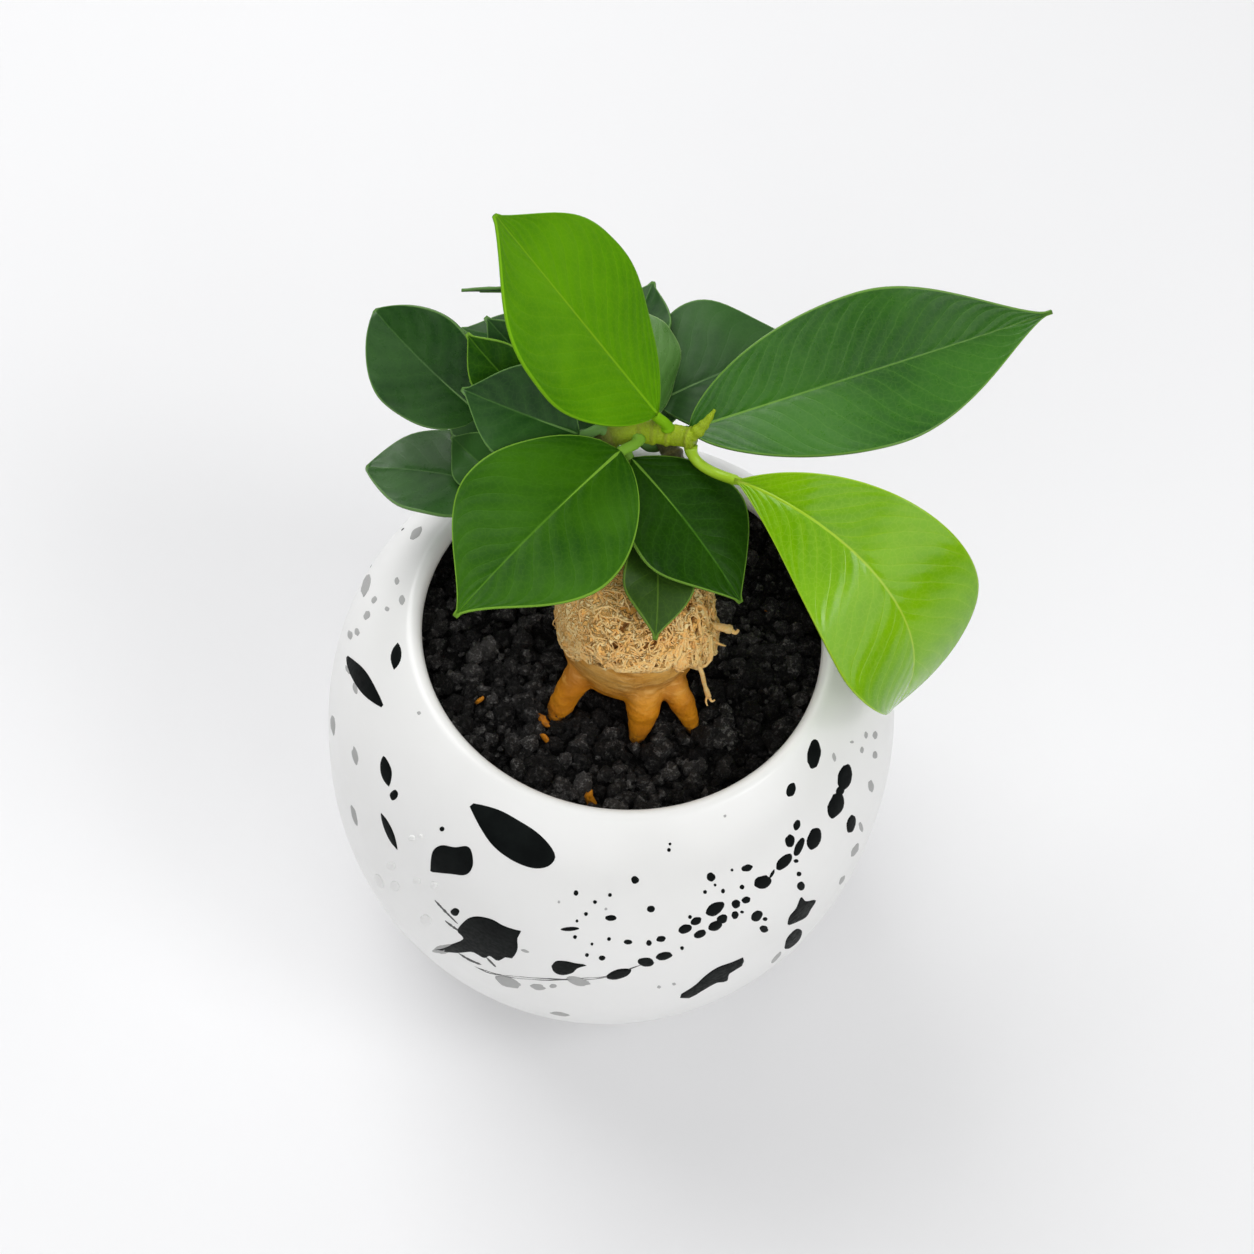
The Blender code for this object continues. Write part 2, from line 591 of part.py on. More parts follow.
def main():
    clear_scene()
    plant = new_collection("Potted_ginseng_ficus")
    make_pot(plant)
    buried = [trunk_core("core_hole", GAP, plant)] + limbs(ROOTS, GAP, ROOT_STATIONS, plant)
    make_soil(plant, buried)
    make_trunk(plant)
    for name, stem in STEMS.items():
        shoot = stem_tube(name, stem, 0, plant)
        if name == "stem_front":
            combine(shoot, limbs({"bud": BUD}, 0, BUD_STATIONS, plant), "UNION")
        dress(shoot, "shoot")
    for name, leaf in LEAVES.items():
        make_leaf(name, leaf, plant)


main()
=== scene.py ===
import math
import random

import bmesh
import bpy
from mathutils import Matrix, Quaternion, Vector, noise
from mathutils.bvhtree import BVHTree


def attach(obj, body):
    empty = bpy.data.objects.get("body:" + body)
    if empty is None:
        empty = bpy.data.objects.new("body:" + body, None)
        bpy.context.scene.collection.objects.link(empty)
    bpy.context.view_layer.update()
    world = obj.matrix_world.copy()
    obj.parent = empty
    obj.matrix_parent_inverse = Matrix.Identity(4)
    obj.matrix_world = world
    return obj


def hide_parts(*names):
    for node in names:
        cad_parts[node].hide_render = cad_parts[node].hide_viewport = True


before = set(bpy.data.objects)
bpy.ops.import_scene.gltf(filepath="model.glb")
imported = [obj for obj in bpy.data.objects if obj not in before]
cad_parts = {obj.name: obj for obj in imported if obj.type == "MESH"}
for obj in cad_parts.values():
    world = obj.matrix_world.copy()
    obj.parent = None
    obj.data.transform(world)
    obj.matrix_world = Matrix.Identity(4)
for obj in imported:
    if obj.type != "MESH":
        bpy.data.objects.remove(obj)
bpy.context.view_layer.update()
random.seed(7)
mm = 0.001       # everything is shaped in millimetres and scaled down at the end


def clamp(value, low=0.0, high=1.0):
    return max(low, min(high, value))


def bell(offset, width):
    return math.exp(-(offset / width) ** 2)


def ringNoise(angle, scale, along):
    # noise that closes round a ring
    return noise.noise(Vector((math.cos(angle) * scale, math.sin(angle) * scale, along)))


def dimmed(colour, share):
    return tuple(c * share for c in colour)


def readTable(table, x):
    # straight lines between the table's pairs
    if x <= table[0][0]:
        return table[0][1]
    for (x0, y0), (x1, y1) in zip(table, table[1:]):
        if x <= x1:
            return y0 + (y1 - y0) * (x - x0) / (x1 - x0)
    return table[-1][1]


def smoothPath(points, count):
    # Catmull-Rom curve through the points
    knots = [Vector(p) for p in points]
    knots = [2 * knots[0] - knots[1]] + knots + [2 * knots[-1] - knots[-2]]
    path = []
    for step in range(count):
        place = step / (count - 1) * (len(points) - 1)
        i = min(int(place), len(points) - 2)
        u = place - i
        a, b, c, d = knots[i:i + 4]
        path.append(0.5 * (2 * b + (c - a) * u + (2 * a - 5 * b + 4 * c - d) * u ** 2
                           + (3 * b - a - 3 * c + d) * u ** 3))
    return path


def meshOf(bm, name):
    mesh = bpy.data.meshes.new(name)
    bm.to_mesh(mesh)
    bm.free()
    return mesh


def newObject(name, data):
    made = bpy.data.objects.new(name, data)
    bpy.context.scene.collection.objects.link(made)
    return made


def evaluated(carrier):
    # the mesh of a helper object, which goes again
    bpy.context.view_layer.update()
    mesh = bpy.data.meshes.new_from_object(carrier.evaluated_get(bpy.context.evaluated_depsgraph_get()))
    bpy.data.objects.remove(carrier, do_unlink=True)
    return mesh


def curveMesh(strands, roundness):
    # closed tubes of (points, radii), all in one mesh
    curve = bpy.data.curves.new("strands", "CURVE")
    curve.dimensions = "3D"
    curve.bevel_depth = 1
    curve.bevel_resolution = roundness
    curve.use_fill_caps = True
    for points, radii in strands:
        spline = curve.splines.new("POLY")
        spline.points.add(len(points) - 1)
        for knot, place, radius in zip(spline.points, points, radii):
            knot.co = (*place, 1)
            knot.radius = radius
    mesh = evaluated(newObject("strands", curve))
    bpy.data.curves.remove(curve)
    return mesh


def welded(bm, distance=0.002):
    bmesh.ops.remove_doubles(bm, verts=bm.verts, dist=distance)
    bmesh.ops.recalc_face_normals(bm, faces=bm.faces)


def tubes(strands, roundness):
    bm = bmesh.new()
    bm.from_mesh(curveMesh(strands, roundness))
    welded(bm)
    return bm


def applied(mesh, *modifiers):
    # the mesh after these modifiers
    carrier = newObject("carrier", mesh)
    for kind, settings in modifiers:
        modifier = carrier.modifiers.new(kind.lower(), kind)
        for key, value in settings.items():
            setattr(modifier, key, value)
    return evaluated(carrier)


def addPiece(name, mesh, slotName, materials, *nodes):
    mesh.transform(Matrix.Scale(mm, 4))
    mesh.name = name
    mesh.materials.clear()
    for material in materials:
        mesh.materials.append(material)
    mesh.shade_smooth()
    piece = newObject(name, mesh)
    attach(piece, "root")
    if nodes:
        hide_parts(*nodes)


def put(tree, kind, inputs, **settings):
    made = tree.nodes.new(kind)
    for key, value in settings.items():
        setattr(made, key, value)
    for key, value in inputs.items():
        if isinstance(value, bpy.types.NodeSocket):
            tree.links.new(value, made.inputs[key])
        else:
            made.inputs[key].default_value = value
    return made


def maths(tree, operation, a, b=0.0, c=0.0):
    return put(tree, "ShaderNodeMath", {0: a, 1: b, 2: c}, operation=operation).outputs[0]


def plus(tree, a, b):
    return maths(tree, "ADD", a, b)


def times(tree, a, b):
    return maths(tree, "MULTIPLY", a, b)


def ramp(tree, value, fromLow, fromHigh, toLow=0.0, toHigh=1.0):
    made = put(tree, "ShaderNodeMapRange", {"Value": value, "From Min": fromLow, "From Max": fromHigh,
                                            "To Min": toLow, "To Max": toHigh},
               interpolation_type="SMOOTHSTEP")
    return made.outputs["Result"]


def tint(tree, factor, a, b):
    # from colour a to colour b
    a, b = [(*c, 1) if isinstance(c, tuple) else c for c in (a, b)]
    return put(tree, "ShaderNodeMix", {0: factor, 6: a, 7: b}, data_type="RGBA").outputs[2]


def objectPlace(tree):
    return put(tree, "ShaderNodeTexCoord", {}).outputs["Object"]


def attribute(tree, name):
    return put(tree, "ShaderNodeAttribute", {}, attribute_name=name).outputs["Fac"]


def newGroup(name, inputs, outputs):
    # a node group of plain numbers: its inputs with their usual values, and its outputs
    group = bpy.data.node_groups.new(name, "ShaderNodeTree")
    for label, value in inputs.items():
        socket = group.interface.new_socket(name=label, in_out="INPUT", socket_type="NodeSocketFloat")
        socket.default_value = value
    for label in outputs:
        group.interface.new_socket(name=label, in_out="OUTPUT", socket_type="NodeSocketFloat")
    return group, group.nodes.new("NodeGroupInput"), group.nodes.new("NodeGroupOutput")


def newMaterial(name, **fixed):
    material = bpy.data.materials.new(name)
    material.use_nodes = True
    tree = material.node_tree
    shader = tree.nodes["Principled BSDF"]
    for key, value in fixed.items():
        shader.inputs[key.replace("_", " ")].default_value = value
    return material, tree, shader


def surface(tree, shader, colour, roughness, height, relief, strength=1.0):
    # colour, roughness and a bump of so many metres
    made = put(tree, "ShaderNodeBump", {"Height": height, "Distance": relief, "Strength": strength})
    tree.links.new(colour, shader.inputs["Base Color"])
    tree.links.new(roughness, shader.inputs["Roughness"])
    tree.links.new(made.outputs["Normal"], shader.inputs["Normal"])


# patchiness at a chosen scale, broad and fine, on the piece's own coordinates
mottle, given, result = newGroup("mottle", {"Scale": 100.0, "Roughness": 0.6}, ("Broad", "Fine"))
coordinates = objectPlace(mottle)
broadNoise = put(mottle, "ShaderNodeTexNoise", {"Vector": coordinates, "Scale": given.outputs[0],
                                                "Detail": 4.0, "Roughness": given.outputs[1]})
fineScale = times(mottle, given.outputs[0], 6.3)
fineNoise = put(mottle, "ShaderNodeTexNoise", {"Vector": coordinates, "Scale": fineScale,
                                               "Detail": 3.0, "Roughness": given.outputs[1]})
mottle.links.new(ramp(mottle, broadNoise.outputs["Fac"], 0.3, 0.7), result.inputs[0])
mottle.links.new(ramp(mottle, fineNoise.outputs["Fac"], 0.3, 0.7), result.inputs[1])


def mottled(tree, scale, roughness=0.6):
    made = put(tree, "ShaderNodeGroup", {"Scale": scale, "Roughness": roughness}, node_tree=mottle)
    return made.outputs["Broad"], made.outputs["Fine"]


print("helpers ready")


cameraSettings = {"place": (0, -214.3, 457.1), "target": (0.7, -2.31, 100), "roll": 7.68,
                  "lens": 66.03, "sensor": 36, "frame": 1254}
cameraPlace = Vector(cameraSettings["place"])
cameraTurn = (Vector(cameraSettings["target"]) - cameraPlace).to_track_quat("-Z", "Y")
cameraTurn = cameraTurn @ Quaternion((0, 0, 1), math.radians(cameraSettings["roll"]))
cameraData = bpy.data.cameras.new("camera")
cameraData.lens = cameraSettings["lens"]
cameraData.sensor_width = cameraSettings["sensor"]
camera = newObject("camera", cameraData)
camera.rotation_mode = "QUATERNION"
camera.rotation_quaternion = cameraTurn
camera.location = cameraPlace * mm
bpy.context.scene.camera = camera


def sightLine(x, y):
    # the way from the camera through a place on the 1254 x 1254 frame
    reach = cameraSettings["lens"] / cameraSettings["sensor"] * cameraSettings["frame"]
    half = cameraSettings["frame"] / 2
    line = Vector(((x - half) / reach, (half - y) / reach, -1))
    line.rotate(cameraTurn)
    return line.normalized()


# shoulder and belly: height and power of the curve above and below the widest ring
pot = {"radius": 55, "widestHeight": 54, "shoulder": (50.6, 2.82), "belly": (65.45, 2.05),
       "wall": 3.8, "floor": 5, "corner": 3, "rimShare": 0.72, "rings": 46, "around": 128, "lipSteps": 12,
       "footEase": 0.4, "footLift": 0.35, "footWidth": 2.6, "footStep": 0.8, "footRise": 1.3,
       "dull": (0.84, 0.84, 0.825), "clean": (0.88, 0.88, 0.87), "clay": (0.62, 0.58, 0.52),
       "clayHeights": (0.0003, 0.0016), "matt": 0.45, "roughness": (0.3, 0.4), "swell": 0.00012}


def potCurve(angle):
    # radius, height and outward normal of the outside, at an angle above the widest ring
    height, power = pot["shoulder"] if angle > 0 else pot["belly"]
    across = max(math.cos(angle), 0) ** (2 / power)
    up = abs(math.sin(angle)) ** (2 / power)
    normal = Vector((across ** (power - 1) / pot["radius"],
                     math.copysign(up ** (power - 1), angle) / height)).normalized()
    return Vector((across * pot["radius"], pot["widestHeight"] + math.copysign(up, angle) * height)), normal


def potAngles(count):
    start = math.acos(pot["rimShare"] ** (pot["shoulder"][1] / 2))
    end = -math.asin((pot["widestHeight"] / pot["belly"][0]) ** (pot["belly"][1] / 2))
    return [start + (end - start) * i / (count - 1) for i in range(count)]


def innerWall(clearance):
    wall = []
    for angle in potAngles(pot["rings"]):
        point, normal = potCurve(angle)
        inside = point - normal * (pot["wall"] + clearance)
        if inside.y > pot["floor"] + pot["corner"]:
            wall.append(inside)
    return wall + [Vector((wall[-1].x - pot["corner"], pot["floor"])), Vector((0, pot["floor"]))]


def turned(profile, around):
    # the profile, from axis to axis, spun into a closed shape
    bm = bmesh.new()
    row = [bm.verts.new((p[0], 0, p[1])) for p in profile]
    edges = [bm.edges.new(pair) for pair in zip(row, row[1:])]
    bmesh.ops.spin(bm, geom=row + edges, cent=(0, 0, 0), axis=(0, 0, 1), angle=math.tau,
                   steps=around, use_merge=True)
    welded(bm)
    return bm


rimPoint, rimNormal = potCurve(potAngles(2)[0])
lipCentre = rimPoint - rimNormal * pot["wall"] / 2
lipTilt = math.atan2(rimNormal.y, rimNormal.x)
lip = []
for i in range(1, pot["lipSteps"]):
    turn = lipTilt + math.pi * (1 - i / pot["lipSteps"])
    lip.append(lipCentre + Vector((math.cos(turn), math.sin(turn))) * pot["wall"] / 2)
outside = [potCurve(angle)[0] for angle in potAngles(pot["rings"])]
footEdge = outside[-1].x
footInside = footEdge - pot["footWidth"]
foot = [Vector((footEdge - pot["footEase"], 0)), Vector((footInside, 0)),
        Vector((footInside - pot["footStep"], pot["footRise"])), Vector((0, pot["footRise"]))]
outside[-1].y = pot["footLift"]
potShape = turned(innerWall(0)[::-1] + lip + outside + foot, pot["around"])
potSurface = BVHTree.FromBMesh(potShape)

glaze, tree, shader = newMaterial("whiteGlaze", Coat_Weight=0.25, Coat_Roughness=0.22, IOR=1.5)
patches, _ = mottled(tree, 22.0, 0.5)
grains, _ = mottled(tree, 260.0)
body = tint(tree, patches, pot["dull"], pot["clean"])
height = put(tree, "ShaderNodeSeparateXYZ", {0: objectPlace(tree)}).outputs["Z"]
footMask = ramp(tree, height, *pot["clayHeights"], 1.0, 0.0)
roughness = plus(tree, ramp(tree, grains, 0, 1, *pot["roughness"]), times(tree, footMask, pot["matt"]))
swell = plus(tree, times(tree, patches, 0.9), times(tree, grains, 0.1))
surface(tree, shader, tint(tree, footMask, body, pot["clay"]), roughness, swell, pot["swell"])
addPiece("pot_body", meshOf(potShape, "pot"), "glaze", [glaze], "pot")
print("pot done")


# each splash: x, y, length and width on the frame, and its turn in degrees if it has one
splashes = {
    "leaf": [(396, 656, 27, 11, 98), (389, 831, 41, 7, 66), (386, 771, 31, 11, 80)],
    "drop": [(394, 795, 8, 11, 20), (442, 829, 5, 5), (455, 912, 9, 8), (576, 893, 5, 6),
        (610, 895, 4, 4), (595, 902, 4, 4), (586, 914, 4, 4), (611, 918, 12, 6), (570, 929, 20, 4, -3),
        (577, 921, 3, 3), (575, 937, 4, 4), (592, 944, 3, 3), (609, 939, 4, 4), (587, 955, 4, 4),
        (602, 958, 7, 5), (669, 850, 4, 4), (670, 844, 3, 3), (635, 880, 8, 8), (651, 909, 8, 7),
        (628, 942, 9, 5), (649, 943, 6, 6), (661, 939, 10, 6, -10), (664, 956, 17, 8, -10),
        (646, 962, 17, 9, 5), (619, 974, 26, 10, -15), (682, 948, 4, 4), (711, 877, 9, 9),
        (747, 868, 12, 7, -15), (732, 870, 3, 3), (715, 885, 3, 3), (705, 892, 4, 4), (723, 891, 4, 5),
        (742, 887, 5, 5), (763, 882, 18, 13, -20), (772, 874, 10, 3, -60), (784, 862, 21, 11, -45),
        (799, 847, 20, 8, -65), (790, 841, 10, 13), (797, 825, 7, 11, 15), (814, 839, 23, 14, -75),
        (836, 805, 28, 15, -70), (845, 777, 26, 14, -78), (840, 791, 12, 8, -75), (851, 824, 19, 9, -80),
        (814, 754, 29, 14, -84), (791, 790, 15, 9, -72), (796, 861, 5, 4), (799, 874, 5, 5),
        (801, 886, 8, 9), (685, 929, 14, 9, -20), (696, 921, 12, 8, -25), (690, 917, 4, 4),
        (700, 934, 13, 8, -25), (715, 909, 21, 12, -35), (715, 926, 15, 9, -25), (722, 919, 12, 9, -20),
        (736, 904, 9, 9), (746, 900, 9, 7, -15), (735, 915, 7, 8), (742, 912, 4, 3),
        (757, 916, 13, 10, -40), (765, 919, 5, 4), (764, 929, 9, 7, 20)],
    "faint": [(354, 815, 22, 5, 75), (416, 533, 16, 8, -50), (402, 600, 10, 6, 90), (397, 581, 8, 5, 90),
        (387, 609, 5, 5), (367, 615, 10, 6, -70), (374, 600, 8, 5, -70), (366, 585, 24, 8, -75),
        (350, 635, 10, 5, 80), (357, 632, 8, 5, 80), (419, 713, 4, 4), (333, 725, 20, 5, 85),
        (355, 756, 18, 6, 80), (348, 670, 10, 4, 60), (355, 688, 12, 4, 75), (508, 982, 28, 10, 20),
        (538, 987, 15, 6, 10), (578, 981, 25, 9, 15), (553, 986, 8, 4), (560, 1014, 20, 4, 8),
        (725, 816, 3, 3), (834, 757, 9, 4, 80), (861, 827, 10, 4, 80), (855, 850, 14, 6, -62),
        (871, 786, 12, 6, 85), (875, 735, 9, 5, 90), (866, 735, 7, 4, 90), (862, 750, 7, 4, 90),
        (875, 755, 8, 5, 90), (852, 742, 4, 3), (842, 880, 10, 4, -60), (659, 987, 4, 3),
        (674, 984, 4, 3), (559, 902, 3, 3), (606, 909, 3, 3), (776, 958, 16, 4, -50),
        (525, 951, 9, 3, 20), (445, 949, 26, 9, -8)],
    "bead": [(391, 866, 9, 8), (395, 886, 11, 9, 60), (417, 881, 8, 7), (434, 885, 8, 7),
        (379, 881, 16, 7, 65), (426, 920, 12, 10, 30), (412, 838, 7, 6), (421, 836, 4, 4)],
}
# the large splashes, each by its outline on the frame
bigSplashes = [
    [(467, 802), (480, 804), (500, 810), (520, 821), (537, 832), (550, 845), (556, 857), (550, 866),
     (538, 869), (524, 866), (508, 858), (492, 845), (479, 826)],
    [(430, 872), (431, 857), (434, 849), (442, 845), (455, 847), (467, 846), (472, 852), (473, 866),
     (466, 875), (450, 874)],
    [(460, 925), (468, 918), (478, 916), (492, 919), (503, 925), (514, 929), (522, 931), (518, 938),
     (518, 950), (512, 959), (507, 957), (498, 961), (490, 956), (484, 958), (472, 952), (458, 953),
     (446, 952), (432, 951), (446, 946), (463, 939), (457, 931)],
    [(551, 966), (556, 961), (566, 961), (575, 963), (587, 965), (578, 968), (572, 973), (562, 975),
     (554, 972)],
    [(672, 1000), (684, 992), (695, 985), (706, 975), (718, 967), (732, 962), (744, 957), (742, 966),
     (730, 973), (727, 981), (716, 983), (700, 992), (690, 998), (680, 998)],
    [(787, 926), (789, 917), (796, 908), (801, 897), (806, 901), (816, 900), (811, 909), (806, 917),
     (797, 922)],
    [(784, 949), (787, 938), (796, 929), (802, 931), (799, 940), (790, 948)],
    [(346, 654), (354, 660), (363, 668), (372, 681), (384, 707), (372, 702), (361, 692), (352, 678),
     (347, 665)],
]
# thin runs of paint, as places on the frame
splashLines = [
    [(456, 957), (478, 968), (500, 975), (540, 979), (580, 979), (610, 976), (640, 965), (665, 957)],
    [(432, 897), (444, 910), (462, 928)], [(443, 919), (452, 926), (464, 934)],
    [(484, 955), (492, 963), (497, 968)], [(455, 951), (470, 960), (485, 966)]]
# each kind: the paint's height, how pointed and square its ends are, how rough its edge is, and its ink
splashKinds = {
    "leaf": (0.16, 0.75, 1.0, 0.03, 1.0), "block": (0.16, 0, 0.55, 0.04, 1.0),
    "ragged": (0.16, 0.1, 0.9, 0.2, 1.0), "drop": (0.13, 0.1, 1.0, 0.07, 1.0),
    "faint": (0.08, 0.3, 1.0, 0.12, 0.5), "bead": (0.3, 0, 1.0, 0.05, 0.0),
}
paintwork = {"potMiddle": (610, 790), "bigRise": 0.17, "dome": 0.6, "sunk": 0.25, "outlineSteps": 120,
             "spikes": 7, "spikeLength": (0.08, 0.3), "spikeWidth": 0.03, "runRise": 0.1, "runSunk": 0.2,
             "runSteps": 60, "runWidth": 1.6, "runThinnest": 0.25, "runInk": 0.85,
             "clear": (0.86, 0.86, 0.85), "black": (0.004, 0.005, 0.005), "worn": (0.007, 0.009, 0.0085),
             "roughness": (0.4, 0.55), "relief": 0.00003}


def throughFrame(x, y):
    # place and normal on the pot's surface behind a place on the frame, or just inside its outline
    middleX, middleY = paintwork["potMiddle"]
    for inward in range(40):
        share = inward / 40
        place, normal, _, _ = potSurface.ray_cast(
            cameraPlace, sightLine(x + (middleX - x) * share, y + (middleY - y) * share))
        if place is not None:
            return place, normal


def aroundBack(x, y):
    # the same on the hidden side: x runs round the pot and y downwards, in millimetres
    azimuth = math.radians(90) + x / pot["radius"]
    way = Vector((math.cos(azimuth), math.sin(azimuth), 0))
    place, normal, _, _ = potSurface.ray_cast(way * 90 + Vector((0, 0, clamp(60 - y, 3, 92))), -way)
    return place, normal


def newBlob(around, rows):
    shape = bmesh.new()
    ink = shape.verts.layers.float.new("ink")
    bmesh.ops.create_uvsphere(shape, u_segments=around, v_segments=rows, radius=1)
    return shape, ink


def addBigSplash(bm, outline):
    # a splash that reaches from its middle out to a drawn outline
    middle = sum((Vector(p) for p in outline), Vector((0, 0))) / len(outline)
    loop = smoothPath([(*p, 0) for p in outline + outline[:1]], paintwork["outlineSteps"])
    reaches = sorted((math.atan2(p.y - middle.y, p.x - middle.x), math.hypot(p.x - middle.x, p.y - middle.y))
                     for p in loop)
    (firstTurn, firstReach), (lastTurn, lastReach) = reaches[0], reaches[-1]
    reaches = [(lastTurn - math.tau, lastReach)] + reaches + [(firstTurn + math.tau, firstReach)]
    shape, ink = newBlob(72, 16)
    for vertex in shape.verts:
        out = math.hypot(vertex.co.x, vertex.co.y)
        ray = math.atan2(vertex.co.y, vertex.co.x)
        reach = readTable(reaches, ray) * out
        place, normal = throughFrame(middle.x + math.cos(ray) * reach, middle.y + math.sin(ray) * reach)
        up = vertex.co.z
        vertex.co = place + normal * (paintwork["bigRise"] * up ** paintwork["dome"] if up > 0
                                      else -paintwork["sunk"])
        vertex[ink] = 1
    bm.from_mesh(meshOf(shape, "splash"))


def addSplash(bm, find, kind, x, y, length, width, turn=0):
    rise, pointed, square, rough, inked = splashKinds[kind]
    size = max(length, width)
    around = 12 if size < 8 else 20 if size < 30 else 56
    shape, ink = newBlob(around, 6 if around < 30 else 12)
    seed = random.random() * 100
    spikes = [(random.random() * math.tau, random.uniform(*paintwork["spikeLength"]))
              for _ in range(paintwork["spikes"])]
    tilt = math.radians(turn)
    centre, _ = find(x, y)
    for vertex in shape.verts:
        ray = math.atan2(vertex.co.y, vertex.co.x)
        out = math.hypot(vertex.co.x, vertex.co.y)
        edge = 1 + rough * 2 * ringNoise(ray, 1.7, seed)
        if kind == "ragged":
            edge += rough * ringNoise(ray, 5, seed)
            edge += sum(spike * math.exp(-((ray - way + math.pi) % math.tau - math.pi) ** 2
                                         / paintwork["spikeWidth"]) for way, spike in spikes)
        c, s = math.cos(ray), math.sin(ray)
        dx = math.copysign(abs(c) ** square, c) * length / 2 * edge
        dy = math.copysign(abs(s) ** (square + pointed), s) * width / 2 * edge
        for shrink in (1, 0.85, 0.7, 0.5, 0.3, 0.1, 0):     # until it stays on the same part of the pot
            place, normal = find(x + (dx * math.cos(tilt) - dy * math.sin(tilt)) * out * shrink,
                                 y + (dx * math.sin(tilt) + dy * math.cos(tilt)) * out * shrink)
            if (place - centre).length < size * 0.6:
                break
        up = vertex.co.z
        vertex.co = place + normal * (rise * up ** paintwork["dome"] if up >= 0 else -paintwork["sunk"])
        vertex[ink] = inked
    bm.from_mesh(meshOf(shape, "splash"))


def addRun(bm, find, points):
    # a thin line of paint whose width swells and thins
    shape, ink = newBlob(64, 4)
    steps = paintwork["runSteps"]
    path = smoothPath([(*p, 0) for p in points], steps)
    for vertex in shape.verts:
        step = clamp((vertex.co.x + 1) / 2) * (steps - 1.01)
        i = int(step)
        along = path[i].lerp(path[i + 1], step - i)
        across = (path[i + 1] - path[i]).normalized().cross(Vector((0, 0, 1)))
        grow = 0.7 + 0.9 * noise.noise(Vector((step * 0.21, points[0][0], 0)))
        spot = along + across * vertex.co.y * paintwork["runWidth"] * max(grow, paintwork["runThinnest"])
        place, normal = find(spot.x, spot.y)
        up = vertex.co.z
        vertex.co = place + normal * (paintwork["runRise"] * up if up > 0 else -paintwork["runSunk"])
        vertex[ink] = paintwork["runInk"]
    bm.from_mesh(meshOf(shape, "run"))


paintShape = bmesh.new()
for outline in bigSplashes:
    addBigSplash(paintShape, outline)
for kind, marks in splashes.items():
    for mark in marks:
        addSplash(paintShape, throughFrame, kind, *mark)
for points in splashLines:
    addRun(paintShape, throughFrame, points)

# scattered on the hidden side: how many, the least and greatest length, and the width as its share
backSplashes = {"leaf": (5, 6, 19, 0.35), "block": (2, 5, 9, 0.7), "ragged": (5, 6, 15, 0.5),
                "drop": (90, 0.8, 4.2, 0.7), "faint": (26, 0.8, 4.5, 0.6), "bead": (14, 1.2, 2.6, 0.8)}
for kind, (count, low, high, share) in backSplashes.items():
    for _ in range(count):
        length = low + (high - low) * random.random() ** 1.8
        x, y = random.uniform(-70, 70), random.gauss(8, 17)
        if -28 < y < 44:
            addSplash(paintShape, aroundBack, kind, x, y, length, length * share * random.uniform(0.7, 1.2),
                      random.uniform(-80, 80))
bmesh.ops.recalc_face_normals(paintShape, faces=paintShape.faces)

paint, tree, shader = newMaterial("blackGlaze", Specular_IOR_Level=0.03)
pools, specks = mottled(tree, 190.0)
inked = tint(tree, pools, paintwork["black"], paintwork["worn"])
surface(tree, shader, tint(tree, attribute(tree, "ink"), paintwork["clear"], inked),
        ramp(tree, specks, 0, 1, *paintwork["roughness"]), pools, paintwork["relief"])
addPiece("pot_splashes", meshOf(paintShape, "splashes"), "glaze", [paint])
print("splashes done")


trunk = {"centre": (1.5, 0.6), "around": 120, "rows": 80, "skin": 0.42, "fold": 0.35, "grain": 0.15,
         "limbSteps": 30, "limbSwell": 0.1, "wrinkle": 0.16}
# height and radius, from the crown down
trunkProfile = [(113.0, 0.0), (112.6, 4.0), (111.2, 7.6), (108.8, 10.5), (105.8, 12.5), (102.5, 13.5),
                (99.0, 13.7), (95.5, 13.1), (92.0, 12.7), (89.0, 11.9), (86.5, 10.2), (83.0, 7.6),
                (78.0, 5.4), (74.0, 4.0), (73.6, 0.0)]
# each root: places along its middle, and its radius there
roots = [
    (((-2, -3, 94), 3.6), ((-5.5, -6.6, 91.4), 3.2), ((-8.3, -10.1, 87.8), 2.6), ((-9.9, -12.6, 82.5), 2.3),
     ((-10.6, -14, 77), 1.8)),
    (((4, -4, 94), 4.6), ((5.2, -9.4, 91), 4.0), ((5.6, -12.8, 87.5), 2.9), ((5.2, -15.4, 83), 1.5),
     ((5, -16.4, 78), 0.8)),
    (((6, -3, 94), 3.8), ((9.8, -7.4, 91.4), 3.1), ((12.8, -10, 88), 2.3), ((15, -11.8, 83.5), 1.4),
     ((16, -12.6, 78), 0.8)),
    (((0, 4, 94), 3.2), ((-4.5, 9.5, 90.5), 2.8), ((-8, 14, 86.5), 2.2), ((-10, 17.5, 82), 1.8),
     ((-11, 19, 77), 1.4)),
    (((6, 4, 94), 3.2), ((11, 9, 90.5), 2.7), ((14, 12.5, 86.5), 2.2), ((16, 15.5, 82), 1.8),
     ((17, 17, 77), 1.4)),
]
trunkRun = [0.0]
for (z0, r0), (z1, r1) in zip(trunkProfile, trunkProfile[1:]):
    trunkRun.append(trunkRun[-1] + math.hypot(z1 - z0, r1 - r0))
runHeights = list(zip(trunkRun, [z for z, _ in trunkProfile]))
runWidths = list(zip(trunkRun, [r for _, r in trunkProfile]))


def trunkPlace(angle, run, lift):
    # a place so far along the profile and so far off it
    reach = readTable(runWidths, run) + lift
    return Vector((trunk["centre"][0] + math.cos(angle) * reach,
                   trunk["centre"][1] + math.sin(angle) * reach, readTable(runHeights, run)))


def limb(points, count):
    # a smooth tube's path and radii from places with radii
    path = smoothPath([p for p, _ in points], count)
    table = list(enumerate(r for _, r in points))
    radii = [readTable(table, i / (count - 1) * (len(points) - 1)) for i in range(count)]
    return path, radii


